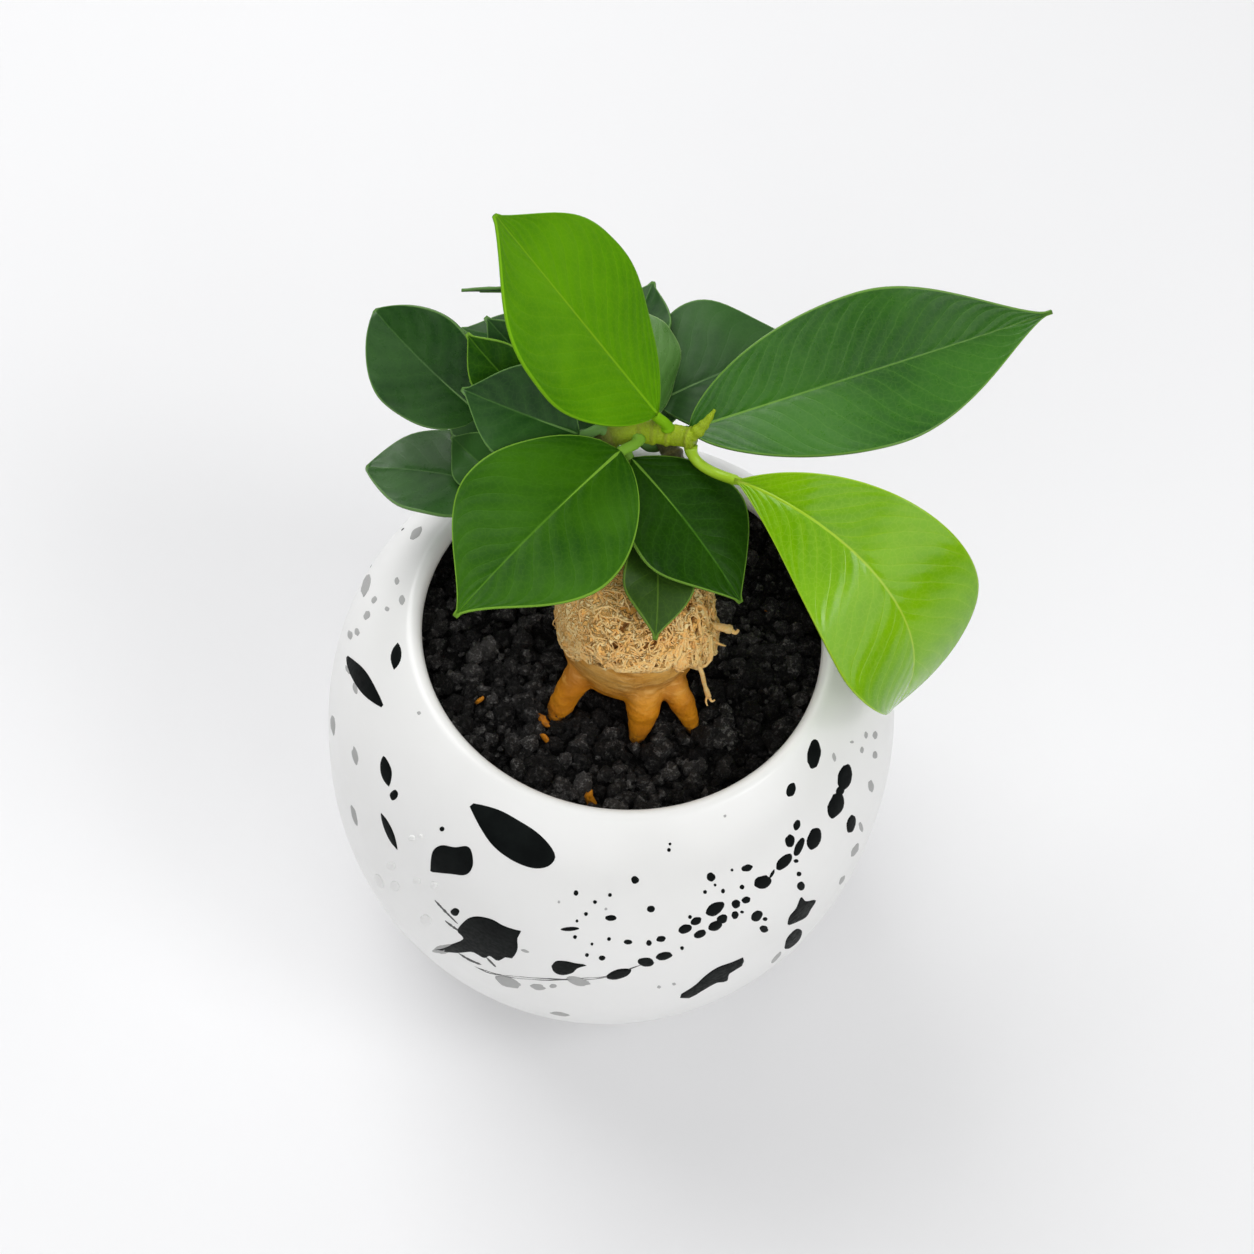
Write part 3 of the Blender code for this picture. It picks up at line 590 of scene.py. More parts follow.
rootShape = bmesh.new()
bmesh.ops.create_uvsphere(rootShape, u_segments=trunk["around"], v_segments=trunk["rows"], radius=1)
for vertex in rootShape.verts:
    angle = math.atan2(vertex.co.y, vertex.co.x)
    share = math.acos(clamp(vertex.co.z, -1, 1)) / math.pi
    here = trunkPlace(angle, share * trunkRun[-1], 0)
    rough = trunk["fold"] * ringNoise(angle, 3, here.z * 0.12) \
        + trunk["grain"] * ringNoise(angle, 9, here.z * 0.5)
    vertex.co = here + Vector((math.cos(angle), math.sin(angle), 0)) * rough \
        * clamp(readTable(runWidths, share * trunkRun[-1]) / 4)
limbStrands = []
for points in roots:
    path, radii = limb(points, trunk["limbSteps"])
    radii = [r * (1 + trunk["limbSwell"] * noise.noise(Vector((i * 0.4, points[0][0][0], 0))))
             for i, r in enumerate(radii)]
    limbStrands.append((path, radii))
rootShape.from_mesh(curveMesh(limbStrands, 4))
welded(rootShape)
rootMesh = applied(meshOf(rootShape, "roots"),
                   ("REMESH", {"mode": "VOXEL", "voxel_size": trunk["skin"]}),
                   ("SMOOTH", {"factor": 0.5, "iterations": 5}))
rootSurface = bmesh.new()
rootSurface.from_mesh(rootMesh)
for vertex in rootSurface.verts:
    # fine wrinkles that run round the limbs
    ripple = noise.noise(Vector((vertex.co.x * 0.25, vertex.co.y * 0.25, vertex.co.z * 1.1)))
    vertex.co += vertex.normal * trunk["wrinkle"] * ripple
rootTree = BVHTree.FromBMesh(rootSurface)


def stretched(tree, coordinates, stretch, scale, detail, roughness, distortion):
    # noise that runs longer along the axes with a small number
    mapped = put(tree, "ShaderNodeMapping", {0: coordinates, "Scale": stretch}).outputs[0]
    return put(tree, "ShaderNodeTexNoise", {"Vector": mapped, "Scale": scale, "Detail": detail,
                                            "Roughness": roughness, "Distortion": distortion}).outputs["Fac"]


# colours of the upper roots, of the lower ones, and the dark colour they take just above the soil, with their
# heights
rootLook = {"tan": ((0.62, 0.27, 0.04), (0.90, 0.48, 0.10)), "tanRing": (1.0, 0.63, 0.22),
            "ochre": ((0.46, 0.15, 0.003), (0.74, 0.28, 0.006)), "ochreRing": (0.80, 0.38, 0.03),
            "soil": (0.05, 0.03, 0.015), "lowerHeights": (0.0915, 0.0985), "soilHeights": (0.0838, 0.0868),
            "roughness": (0.5, 0.75), "relief": 0.0003}
bark, tree, shader = newMaterial("rootBark", Specular_IOR_Level=0.3)
coordinates = objectPlace(tree)
height = put(tree, "ShaderNodeSeparateXYZ", {0: coordinates}).outputs["Z"]
clouds, specks = mottled(tree, 160.0, 0.65)
streaks = stretched(tree, coordinates, (1.0, 1.0, 0.25), 900.0, 4.0, 0.7, 0.6)
rings = stretched(tree, coordinates, (0.3, 0.3, 1.0), 700.0, 3.0, 0.6, 1.2)
tan = tint(tree, clouds, *rootLook["tan"])
tan = tint(tree, ramp(tree, rings, 0.42, 0.7, 0, 0.5), tan, rootLook["tanRing"])
ochre = tint(tree, clouds, *rootLook["ochre"])
ochre = tint(tree, ramp(tree, rings, 0.5, 0.75, 0, 0.4), ochre, rootLook["ochreRing"])
lower = ramp(tree, plus(tree, height, times(tree, rings, 0.004)), *rootLook["lowerHeights"], 1.0, 0.0)
darkAboveSoil = ramp(tree, plus(tree, height, times(tree, specks, 0.0025)), *rootLook["soilHeights"], 0.85, 0.0)
skin = tint(tree, darkAboveSoil, tint(tree, lower, tan, ochre), rootLook["soil"])
surface(tree, shader, skin, ramp(tree, specks, 0, 1, *rootLook["roughness"]),
        plus(tree, streaks, times(tree, rings, 1.2)), rootLook["relief"], 0.8)
addPiece("trunk_roots", meshOf(rootSurface, "roots"), "bark", [bark], "trunk")
print("roots done")


# millimetres for lifts, shares of the way down for places, degrees for angles
# its darkest colour is painted shade for the crevices and the hollows between the crinkles
coat = {"thickness": 0.7, "around": 340, "rows": 130, "outerRows": 0.8, "innerRows": 0.2, "tucked": 1.2,
        "lump": 0.35, "hem": 0.5, "hemPlace": 0.94, "hemWidth": 0.06, "edgeStray": 0.7, "flapAngle": -18,
        "flapWidth": 17, "flapProud": 1.6, "flapStart": 0.72, "calmAngle": -165, "calmWidth": 40,
        "calmLift": 0.6, "crinkle": 0.48, "calmCrinkle": 0.85, "bend": 0.9, "mat": (0.97, 0.51, 0.14),
        "paleMat": (1.0, 0.61, 0.20), "thread": (1.0, 0.77, 0.38), "paintedHollowShade": (0.26, 0.10, 0.02),
        "roughness": (0.75, 0.95), "relief": 0.0005}
# the height of its lower edge round the trunk
coatEdge = [(-180, 97.0), (-150, 97.0), (-135, 99.0), (-120, 102.0), (-105, 103.4), (-90, 104.1),
            (-60, 103.5), (-45, 101.7), (-30, 98.8), (-14, 97.6), (0, 98.6), (30, 101.0), (90, 103.0),
            (150, 99.0), (180, 97.0)]
edgeRuns = [(-z, run) for run, z in runHeights[:9]]


def calmness(degrees):
    # 1 where the coat lies smooth, on the left side
    return bell((degrees - coat["calmAngle"] + 180) % 360 - 180, coat["calmWidth"])


def edgeRun(degrees):
    # how far along the profile the coat's lower edge lies
    return readTable(edgeRuns, -readTable(coatEdge, degrees))


def coatLift(angle, share):
    # how far the coat stands out, from the crown (0) to its lower edge (1)
    degrees = math.degrees(angle)
    lift = coat["thickness"] * clamp(share * 6) + coat["lump"] * ringNoise(angle, 4, share * 6) \
        + coat["hem"] * bell(share - coat["hemPlace"], coat["hemWidth"])
    flap = bell(degrees - coat["flapAngle"], coat["flapWidth"])
    return lift * (1 - coat["calmLift"] * calmness(degrees)) \
        + coat["flapProud"] * flap * clamp((share - coat["flapStart"]) * 3.6)


coatShape = bmesh.new()
bmesh.ops.create_uvsphere(coatShape, u_segments=coat["around"], v_segments=coat["rows"], radius=1)
for vertex in coatShape.verts:
    angle = math.atan2(vertex.co.y, vertex.co.x)
    row = math.acos(clamp(vertex.co.z, -1, 1)) / math.pi
    edge = edgeRun(math.degrees(angle)) + coat["edgeStray"] * ringNoise(angle, 5, 3)
    if row < coat["outerRows"]:      # the outer side, down to the edge
        share = row / coat["outerRows"]
        vertex.co = trunkPlace(angle, edge * share, coatLift(angle, share))
    else:                            # back up under the coat, inside the root
        share = (1 - row) / coat["innerRows"]
        vertex.co = trunkPlace(angle, edge * share, -coat["tucked"] * clamp((1 - share) * 8))
welded(coatShape)
coatShape.normal_update()
# how much painted shade each place gets, most in the low parts between the crinkles
paintedCreaseShade = coatShape.verts.layers.float.new("paintedCreaseShade")
crinkled = coatShape.verts.layers.float.new("crinkled")
for vertex in coatShape.verts:
    # crinkled all round, except for the calm left side
    calm = calmness(math.degrees(math.atan2(vertex.co.y - trunk["centre"][1],
                                            vertex.co.x - trunk["centre"][0])))
    bent = vertex.co + Vector((1, 1, 1)) * coat["bend"] * noise.noise(vertex.co * 0.5)
    ridge = 1 - 3.2 * abs(noise.noise(bent * 0.42)) + 0.7 * (1 - 3.2 * abs(noise.noise(bent)))
    ridge *= 1 - coat["calmCrinkle"] * calm
    vertex.co += vertex.normal * coat["crinkle"] * ridge
    vertex[paintedCreaseShade] = clamp(0.62 - 0.5 * ridge) * (1 - calm)
    vertex[crinkled] = 1 - calm
coatTree = BVHTree.FromBMesh(coatShape)

mat, tree, shader = newMaterial("fibreMat", Specular_IOR_Level=0.1)
knots, specks = mottled(tree, 420.0, 0.7)
threads = put(tree, "ShaderNodeTexNoise", {"Vector": objectPlace(tree), "Scale": 430.0, "Detail": 2.0,
                                           "Distortion": 2.5}).outputs["Fac"]
shade = tint(tree, knots, coat["mat"], coat["paleMat"])
shade = tint(tree, ramp(tree, threads, 0.52, 0.6), shade, coat["thread"])
# crevices follow the noise's middle level, so that they wind as lines; these lines and the low parts between
# the crinkles are painted dark as painted shade
creases = maths(tree, "ABSOLUTE", maths(tree, "SUBTRACT", threads, 0.5))
paintedGapShade = times(tree, ramp(tree, creases, 0.0, 0.022, 0.85, 0.0), attribute(tree, "crinkled"))
paintedHollowShade = maths(tree, "MAXIMUM", ramp(tree, attribute(tree, "paintedCreaseShade"), 0.35, 0.85), paintedGapShade)
surface(tree, shader, tint(tree, paintedHollowShade, shade, coat["paintedHollowShade"]),
        ramp(tree, specks, 0, 1, *coat["roughness"]), ramp(tree, creases, 0.0, 0.09), coat["relief"])
addPiece("trunk_coat", meshOf(coatShape, "coat"), "bark", [mat])

# groups of fibres: how many, where they lie (share of the way down, angles), which way they run,
# how much they curl, their strides, radii and how far they stand off
fibres = [
    {"count": 420, "down": (0.0, 1.0), "angles": (-180, 180), "run": None, "curl": 0.5,
     "steps": 7, "stride": (0.4, 0.9), "radius": (0.12, 0.26), "lift": 0.12, "arch": 0.12},
    {"count": 260, "down": (0.0, 1.0), "angles": (-180, 180), "run": 20, "curl": 0.2,
     "steps": 7, "stride": (0.5, 1.2), "radius": (0.14, 0.3), "lift": 0.06, "arch": 0.05},
    {"count": 130, "down": (0.93, 1.0), "angles": (-130, 180), "run": 0, "curl": 0.08,
     "steps": 9, "stride": (0.6, 1.1), "radius": (0.12, 0.3), "lift": 0.1, "arch": 0.05},
    {"count": 80, "down": (0.3, 0.9), "angles": (-65, 30), "run": 65, "curl": 0.05,
     "steps": 10, "stride": (0.9, 1.4), "radius": (0.3, 0.5), "lift": -0.15, "arch": 0.1},
    {"count": 170, "down": (0.2, 1.0), "angles": (-180, -130), "run": 80, "curl": 0.05,
     "steps": 9, "stride": (0.8, 1.3), "radius": (0.1, 0.2), "lift": 0.0, "arch": 0.0},
]
fibreHabit = {"headingStray": 14, "curlStray": 0.5, "looseShare": 0.02, "looseReach": 2, "sunk": 0.1,
              "tan": (1.0, 0.55, 0.16), "pale": (1.0, 0.71, 0.30), "bleached": (1.0, 0.81, 0.44),
              "roughness": (0.5, 0.75), "relief": 0.0001}
strands = []
for group in fibres:
    for _ in range(group["count"]):
        degrees = random.uniform(*group["angles"])
        if group["run"] in (None, 0, 20) and random.random() < calmness(degrees):
            continue
        low, high = group["down"]
        share = low + (high - low) * math.sqrt(random.random())
        angle = math.radians(degrees)
        spot = trunkPlace(angle, edgeRun(degrees) * share, coatLift(angle, share))
        place, normal, _, _ = coatTree.find_nearest(spot)
        way = normal.cross(Vector((0, 0, 1))).normalized()
        if group["run"] is None:
            heading = random.uniform(0, 360)
        else:
            heading = group["run"] + random.gauss(0, fibreHabit["headingStray"])
        way.rotate(Quaternion(normal, math.radians(heading)))
        curl = random.gauss(0, group["curl"])
        stride = random.uniform(*group["stride"])
        thick = random.uniform(*group["radius"])
        lift = random.uniform(0, group["lift"])
        loose = fibreHabit["looseReach"] if random.random() < fibreHabit["looseShare"] else 0
        points = []
        for step in range(group["steps"]):
            place, normal, _, _ = coatTree.find_nearest(spot)
            arch = math.sin(math.pi * step / (group["steps"] - 1)) * group["arch"]
            stray = (step / group["steps"]) ** 2 * loose
            points.append(place + normal * (lift + arch + stray - fibreHabit["sunk"]))
            way = (way - normal * way.dot(normal)).normalized()
            way.rotate(Quaternion(normal, curl + random.gauss(0, group["curl"] * fibreHabit["curlStray"])))
            spot = place + way * stride
        radii = [thick * (0.5 + 0.5 * math.sin(math.pi * (i + 0.7) / (group["steps"] + 0.4)))
                 for i in range(group["steps"])]
        strands.append((points, radii))

fibre, tree, shader = newMaterial("driedFibre", Specular_IOR_Level=0.15)
tones, specks = mottled(tree, 300.0, 0.75)
shade = tint(tree, tones, fibreHabit["tan"], fibreHabit["pale"])
shade = tint(tree, ramp(tree, specks, 0.3, 1, 0, 0.5), shade, fibreHabit["bleached"])
surface(tree, shader, shade, ramp(tree, specks, 0, 1, *fibreHabit["roughness"]), specks, fibreHabit["relief"])
addPiece("trunk_fibres", meshOf(tubes(strands, 0), "fibres"), "bark", [fibre])

# each twig: places along its middle, and its radius there
twigs = [
    (((13.6, -1.5, 103), 0.8), ((17.2, -1.2, 102.4), 0.7), ((19.3, -0.9, 101.5), 0.9)),
    (((12.2, -5.9, 101.5), 0.55), ((14.8, -8.2, 98.5), 0.45), ((15.9, -9, 95), 0.4),
     ((17.1, -9.6, 91.5), 0.55)),
]
# splinters at the twigs' ends: places, and the radius at the thick end
splinters = [
    ([(17.1, -9.6, 91.5), (17.8, -10.2, 91.0), (18.3, -10.0, 91.3)], 0.3),
    ([(16.9, -9.5, 92), (16.7, -10.4, 91.2), (17.1, -11.1, 90.7)], 0.25),
    ([(19.1, -0.9, 101.6), (20.2, -1.3, 101.3), (20.7, -1.0, 101.9)], 0.5),
    ([(15, -2.6, 100.5), (17.6, -3.4, 100.2), (18.8, -3.2, 99.4)], 0.3),
]
strands = []
for points in twigs:
    path, radii = limb(points, 18)
    knobbly = [r * (1 + 0.18 * noise.noise(Vector((i * 0.7, r, 5)))) for i, r in enumerate(radii)]
    strands.append((path, knobbly))
for points, thick in splinters:
    strands.append((smoothPath(points, 10), [thick * (1 - 0.5 * i / 9) for i in range(10)]))
addPiece("trunk_twigs", meshOf(tubes(strands, 2), "twigs"), "bark", [fibre])
print("coat done")


# the grit colour is pale specks, partly real grit and partly painted glints
soil = {"level": 83, "relief": 1.1, "grain": 3.2, "rings": 40, "around": 128, "clearance": 0.3, "edge": 3,
        "low": (0.0025, 0.0022, 0.002), "high": (0.115, 0.109, 0.104), "damp": (0.006, 0.0055, 0.005),
        "gritAndGlint": (0.34, 0.33, 0.32), "roughness": (0.35, 0.8), "bumps": 0.0009}
innerSide = innerWall(soil["clearance"])
wall = [p for p in innerSide if p.y < soil["level"]]
above = [p for p in innerSide if p.y >= soil["level"]][-1]
soilEdge = above.lerp(wall[0], (above.y - soil["level"]) / (above.y - wall[0].y)).x


def soilHeight(x, y):
    here = Vector((x, y, 0)) / soil["grain"]
    clods = noise.noise(here) + 0.6 * noise.noise(here * 2.3 + Vector((7, 3, 1)))
    return soil["level"] + soil["relief"] * clods * clamp((soilEdge - math.hypot(x, y)) / soil["edge"])


top = [Vector((soilEdge * i / soil["rings"], soil["level"])) for i in range(soil["rings"] + 1)]
soilShape = turned(top + wall, soil["around"])
for vertex in soilShape.verts:
    if vertex.co.z > soil["level"] - 0.01:
        vertex.co.z = soilHeight(vertex.co.x, vertex.co.y)

earth, tree, shader = newMaterial("darkSoil", IOR=1.4)
_, clumps = mottled(tree, 330.0, 0.7)
gritAndGlint, dust = mottled(tree, 1300.0, 0.75)
patches, _ = mottled(tree, 50.0, 0.5)
# each crumb's own tone, with painted shade on its underside, picks the colour between low and high
toneAndShade = ramp(tree, attribute(tree, "toneAndShade"), 0, 0.8)
shade = tint(tree, toneAndShade, soil["low"], soil["high"])
shade = tint(tree, ramp(tree, patches, 0, 1, 0.75, 0.0), shade, soil["damp"])
# pale specks, partly grit and partly painted glints, stronger on lighter crumbs and on their tops away from
# the painted underside shade
shade = tint(tree, times(tree, ramp(tree, gritAndGlint, 0.5, 1, 0, 1), plus(tree, toneAndShade, 0.15)), shade, soil["gritAndGlint"])
surface(tree, shader, shade, ramp(tree, dust, 0, 1, *soil["roughness"]),
        plus(tree, clumps, times(tree, gritAndGlint, 0.6)), soil["bumps"])
addPiece("soil_bed", meshOf(soilShape, "soil"), "soil", [earth], "soil")


crumb = {"kinds": 12, "count": 3900, "least": 0.36, "spread": 1.35, "rarity": 2.6, "rise": (-0.3, 0.9),
         "perSize": 0.25, "round": 0.7, "lumpy": 0.9, "fromRoots": 0.75, "fromTrunk": 6.3}


def crumbTemplates(count):
    # lumps from a cube with each edge cut once
    made = []
    for number in range(count):
        bm = bmesh.new()
        bmesh.ops.create_cube(bm, size=2)
        bmesh.ops.subdivide_edges(bm, edges=bm.edges, cuts=1, use_grid_fill=True)
        for vertex in bm.verts:
            vertex.co = vertex.co.lerp(vertex.co.normalized() * 1.15, crumb["round"])
            vertex.co *= 1 + crumb["lumpy"] * noise.noise(vertex.co * 1.5 + Vector((number * 9, 0, 0)))
        made.append(meshOf(bm, "crumb"))
    return made


def scatter(templates, matrices):
    # each lump keeps a tone of its own, darkened towards its underside as painted shade
    bm = bmesh.new()
    for matrix in matrices:
        lump = bmesh.new()
        lump.from_mesh(random.choice(templates))
        lump.transform(matrix)
        toneAndShadeLayer = lump.verts.layers.float.new("toneAndShade")
        toneAndShade = random.random() ** 1.7
        middle = matrix.translation.z
        reach = max(abs(vertex.co.z - middle) for vertex in lump.verts)
        for vertex in lump.verts:
            vertex[toneAndShadeLayer] = toneAndShade * clamp(0.35 + 0.65 * (vertex.co.z - middle) / reach)
        bm.from_mesh(meshOf(lump, "lump"))
    return bm


def tumbled(place, size):
    axis = Vector([random.gauss(0, 1) for _ in range(3)]).normalized()
    stretch = Matrix.Diagonal([size * random.uniform(0.75, 1.25) for _ in range(3)] + [1])
    turn = Quaternion(axis, random.uniform(0, math.tau)).to_matrix().to_4x4()
    return Matrix.Translation(place) @ turn @ stretch


templates = crumbTemplates(crumb["kinds"])
crumbs = []
while len(crumbs) < crumb["count"]:
    size = crumb["least"] + crumb["spread"] * random.random() ** crumb["rarity"]
    radius = (soilEdge - size * 0.9) * math.sqrt(random.random())
    angle = random.uniform(0, math.tau)
    x, y = radius * math.cos(angle), radius * math.sin(angle)
    place = Vector((x, y, soilHeight(x, y) + random.uniform(*crumb["rise"]) + crumb["perSize"] * size))
    _, _, _, distance = rootTree.find_nearest(place)
    if distance > size * crumb["fromRoots"] and math.dist((x, y), trunk["centre"]) > crumb["fromTrunk"]:
        crumbs.append(tumbled(place, size))
addPiece("soil_crumbs", meshOf(scatter(templates, crumbs), "crumbs"), "soil", [earth])

# pale slivers of bark that lie on the soil: places on the frame and sizes
flake = {"spots": [(543, 720, 1.1), (547, 741, 1.0), (590, 800, 1.2), (770, 610, 0.7), (480, 700, 0.6)],
         "lift": 1.6, "shape": Matrix.Diagonal((1.6, 0.7, 0.5, 1))}
flakes = []
for x, y, size in flake["spots"]:
    line = sightLine(x, y)
    place = cameraPlace + line * ((soil["level"] + flake["lift"] - cameraPlace.z) / line.z)
    flakes.append(tumbled(place, size) @ flake["shape"])
addPiece("soil_flakes", meshOf(scatter(templates, flakes), "flakes"), "bark", [bark])
print("soil done")


stems = {
    "stem_front": {
        "path": ((0, 5, 108.5), (-3.5, 9.5, 115.5), (-7.2, 15, 122), (-8.4, 18.6, 125.4),
                 (-5, 20.6, 127.2), (0.5, 21, 128), (5, 20.7, 128.6), (8, 19.8, 129.5)),
        "radii": (2.5, 1.8), "scars": (0.52, 0.66, 0.72, 0.8, 0.96)},
    "stem_left": {
        "path": ((-5.5, 0, 105), (-9.5, 4, 110.5), (-15, 10, 116), (-20.5, 15.5, 120), (-25, 18.5, 124)),
        "radii": (2.3, 1.5), "scars": (0.45, 0.7, 0.92)},
    "stem_back": {
        "path": ((6, 7.5, 107.5), (7, 14, 113), (6, 21.5, 116.5), (2, 28, 118.8), (-3, 33, 120.5)),
        "radii": (2.4, 1.5), "scars": (0.4, 0.6, 0.8, 0.95)},
}
# the growing tip: places along its middle, and its radius there
budPath = (((7.4, 20.1, 129.6), 1.1), ((8.6, 20.6, 131.2), 1.15), ((9.8, 21.6, 132.8), 0.75),
           ((10.8, 22.8, 134.6), 0.25))
shoot = {"steps": 110, "scarSwell": 0.16, "scarWidth": 0.014, "scarDip": 0.06, "dipOffset": 0.022,
         "dipWidth": 0.008, "scarTone": 0.012, "lumps": 0.1, "scarColour": (0.16, 0.13, 0.02),
         "roughness": (0.35, 0.55), "relief": 0.00012}


def stemRadius(stem, share):
    first, last = stem["radii"]
    swell = sum(shoot["scarSwell"] * bell(share - scar, shoot["scarWidth"])
                - shoot["scarDip"] * bell(share - scar - shoot["dipOffset"], shoot["dipWidth"])
                for scar in stem["scars"])
    return (first + (last - first) * share) * (1 + swell)


def stemPlace(stem, share):
    path = smoothPath(stem["path"], shoot["steps"])
    step = clamp(share) * (shoot["steps"] - 1.001)
    i = int(step)
    return path[i].lerp(path[i + 1], step - i), (path[i + 1] - path[i]).normalized()


def shootMaterial(name, old, young, start, end):
    # woody at the foot and green at the growing end
    material, tree, shader = newMaterial(name, IOR=1.45)
    age = ramp(tree, attribute(tree, "age"), start, end)
    tones, specks = mottled(tree, 420.0, 0.7)
    wood = tint(tree, tones, dimmed(old, 0.6), old)
    colour = tint(tree, age, wood, tint(tree, tones, dimmed(young, 0.8), young))
    scarred = ramp(tree, attribute(tree, "scar"), 0.2, 0.9, 0, 0.35)
    surface(tree, shader, tint(tree, scarred, colour, shoot["scarColour"]),
            ramp(tree, specks, 0, 1, *shoot["roughness"]), specks, shoot["relief"])
    return material


shootFresh = shootMaterial("greenShoot", (0.07, 0.06, 0.012), (0.36, 0.50, 0.003), 0.42, 0.66)
shootWoody = shootMaterial("woodyShoot", (0.10, 0.07, 0.025), (0.08, 0.11, 0.015), 0.3, 1.0)
for name, stem in stems.items():
    steps = shoot["steps"]
    path = smoothPath(stem["path"], steps)
    radii = [stemRadius(stem, i / (steps - 1)) for i in range(steps)]
    strands = [(path, radii)]
    if name == "stem_front":
        tip, tipRadii = limb(budPath, 30)
        strands.append((tip, [r * (1 + 0.08 * math.sin(i * 0.9)) for i, r in enumerate(tipRadii)]))
    shape = tubes(strands, 6)
    ageLayer = shape.verts.layers.float.new("age")
    scarLayer = shape.verts.layers.float.new("scar")
    for vertex in shape.verts:
        nearest = min(range(steps), key=lambda i: (path[i] - vertex.co).length_squared)
        share = nearest / (steps - 1)
        # what lies beyond the shoot's own girth is the tip, the youngest part
        vertex[ageLayer] = share if (path[nearest] - vertex.co).length < radii[nearest] * 1.3 else 1.1
        vertex[scarLayer] = max(bell(share - scar, shoot["scarTone"]) for scar in stem["scars"])
        lump = noise.noise(vertex.co * 0.9) + 0.5 * noise.noise(vertex.co * 2.5)
        vertex.co += (vertex.co - path[nearest]).normalized() * shoot["lumps"] * lump
    material = shootFresh if name == "stem_front" else shootWoody
    addPiece(name + "_shoot", meshOf(shape, name), "shoot", [material], name)
print("shoots done")


# veins of a blade: midrib and side veins from how far across and along a point lies
veins, given, result = newGroup(
    "veins", {"Across": 0.0, "Along": 0.0, "Count": 14.0, "Slant": 0.15, "From Rib": 1.0},
    ("Rib", "Sides", "Height", "Between"))
across, along, count, slant, fromRib = given.outputs[:5]
wobble = put(veins, "ShaderNodeTexNoise", {"Vector": objectPlace(veins), "Scale": 140.0, "Detail": 1.0})
sideways = maths(veins, "ABSOLUTE", across)
lean = times(veins, maths(veins, "POWER", sideways, 1.25), slant)
phase = times(veins, maths(veins, "SUBTRACT", along, lean), count)
phase = plus(veins, phase, times(veins, wobble.outputs["Fac"], 0.55))
phase = plus(veins, phase, times(veins, maths(veins, "GREATER_THAN", across, 0.0), 0.45))
offset = maths(veins, "PINGPONG", phase, 0.5)
fade = ramp(veins, sideways, 0.72, 0.97, 1.0, 0.0)
sides = times(veins, ramp(veins, offset, 0.01, 0.07, 1.0, 0.0), fade)
rib = ramp(veins, plus(veins, fromRib, times(veins, along, 0.2)), 0.14, 0.46, 1.0, 0.0)
tall = times(veins, ramp(veins, offset, 0.0, 0.5), fade)
for place, value in enumerate((rib, sides, tall, times(veins, offset, 2.0))):
    veins.links.new(value, result.inputs[place])

# what a leaf has unless its own settings say otherwise
leafShape = {"peak": 0.48, "basePower": 0.75, "tipPower": 1.2, "droop": 20, "sweep": 0, "twist": 0,
             "fold": 10, "wave": 0.4, "finish": "dark", "slot": "leaf_dark"}
# colours: painted shade and painted light, mixed in random patches over the blade, then of ribs, edge,
# underside and stalk, where the edge's paler band is a painted rim highlight; gloss is its roughness, shine
# its mirroring, and vein how much the side veins show
leafFinish = {
    "top": {"paintedShade": (0.066, 0.225, 0.001), "lit": (0.110, 0.32, 0.001), "rib": (0.22, 0.42, 0.01),
            "edge": (0.18, 0.42, 0.006), "under": (0.16, 0.33, 0.03), "gloss": 0.5, "shine": 0.06,
            "vein": 0.08, "stalk": (0.34, 0.42, 0.01)},
    "lime": {"paintedShade": (0.135, 0.34, 0.001), "lit": (0.205, 0.45, 0.001), "rib": (0.42, 0.60, 0.05),
             "edge": (0.34, 0.56, 0.02), "under": (0.24, 0.44, 0.02), "gloss": 0.18, "shine": 0.3,
             "vein": 0.12, "relief": 0.00004, "stalk": (0.42, 0.46, 0.006)},
    "right": {"paintedShade": (0.014, 0.088, 0.003), "lit": (0.036, 0.160, 0.006), "rib": (0.13, 0.30, 0.04),
              "edge": (0.16, 0.34, 0.04), "under": (0.07, 0.18, 0.05), "gloss": 0.32, "shine": 0.34,
              "vein": 0.13, "stalk": (0.24, 0.34, 0.01)},
    "front": {"paintedShade": (0.012, 0.066, 0.001), "lit": (0.037, 0.138, 0.001), "rib": (0.08, 0.22, 0.01),
              "edge": (0.22, 0.44, 0.04), "under": (0.06, 0.17, 0.03), "gloss": 0.42, "shine": 0.09,
              "vein": 0.05, "stalk": (0.20, 0.30, 0.01)},
    "shaded": {"paintedShade": (0.008, 0.040, 0.001), "lit": (0.017, 0.068, 0.002), "rib": (0.05, 0.16, 0.01),
               "edge": (0.18, 0.36, 0.04), "under": (0.05, 0.13, 0.03), "gloss": 0.34, "shine": 0.1,
               "vein": 0.07, "stalk": (0.14, 0.22, 0.01)},
    "point": {"paintedShade": (0.028, 0.075, 0.007), "lit": (0.040, 0.100, 0.010), "rib": (0.11, 0.22, 0.02),
              "edge": (0.16, 0.30, 0.03), "under": (0.05, 0.13, 0.03), "gloss": 0.42, "shine": 0.2,
              "vein": 0.1, "stalk": (0.14, 0.22, 0.01)},
    # pale: a lighter green, partly the leaf's own and partly painted sheen, with a brighter edge as a painted
    # highlight
    "pale": {"paintedShade": (0.075, 0.225, 0.025), "lit": (0.18, 0.38, 0.10), "rib": (0.20, 0.36, 0.10),
             "edge": (0.40, 0.62, 0.22), "under": (0.09, 0.20, 0.06), "gloss": 0.3, "shine": 0.5,
             "vein": 0.1, "stalk": (0.20, 0.32, 0.02)},
    "dark": {"paintedShade": (0.010, 0.052, 0.007), "lit": (0.035, 0.114, 0.019), "rib": (0.06, 0.16, 0.03),
             "edge": (0.14, 0.29, 0.07), "under": (0.04, 0.10, 0.035), "gloss": 0.36, "shine": 0.17,
             "vein": 0.05, "relief": 0.00002, "stalk": (0.045, 0.085, 0.012)},
}
leafFinish["side"] = {**leafFinish["dark"], "gloss": 0.3, "shine": 0.3}
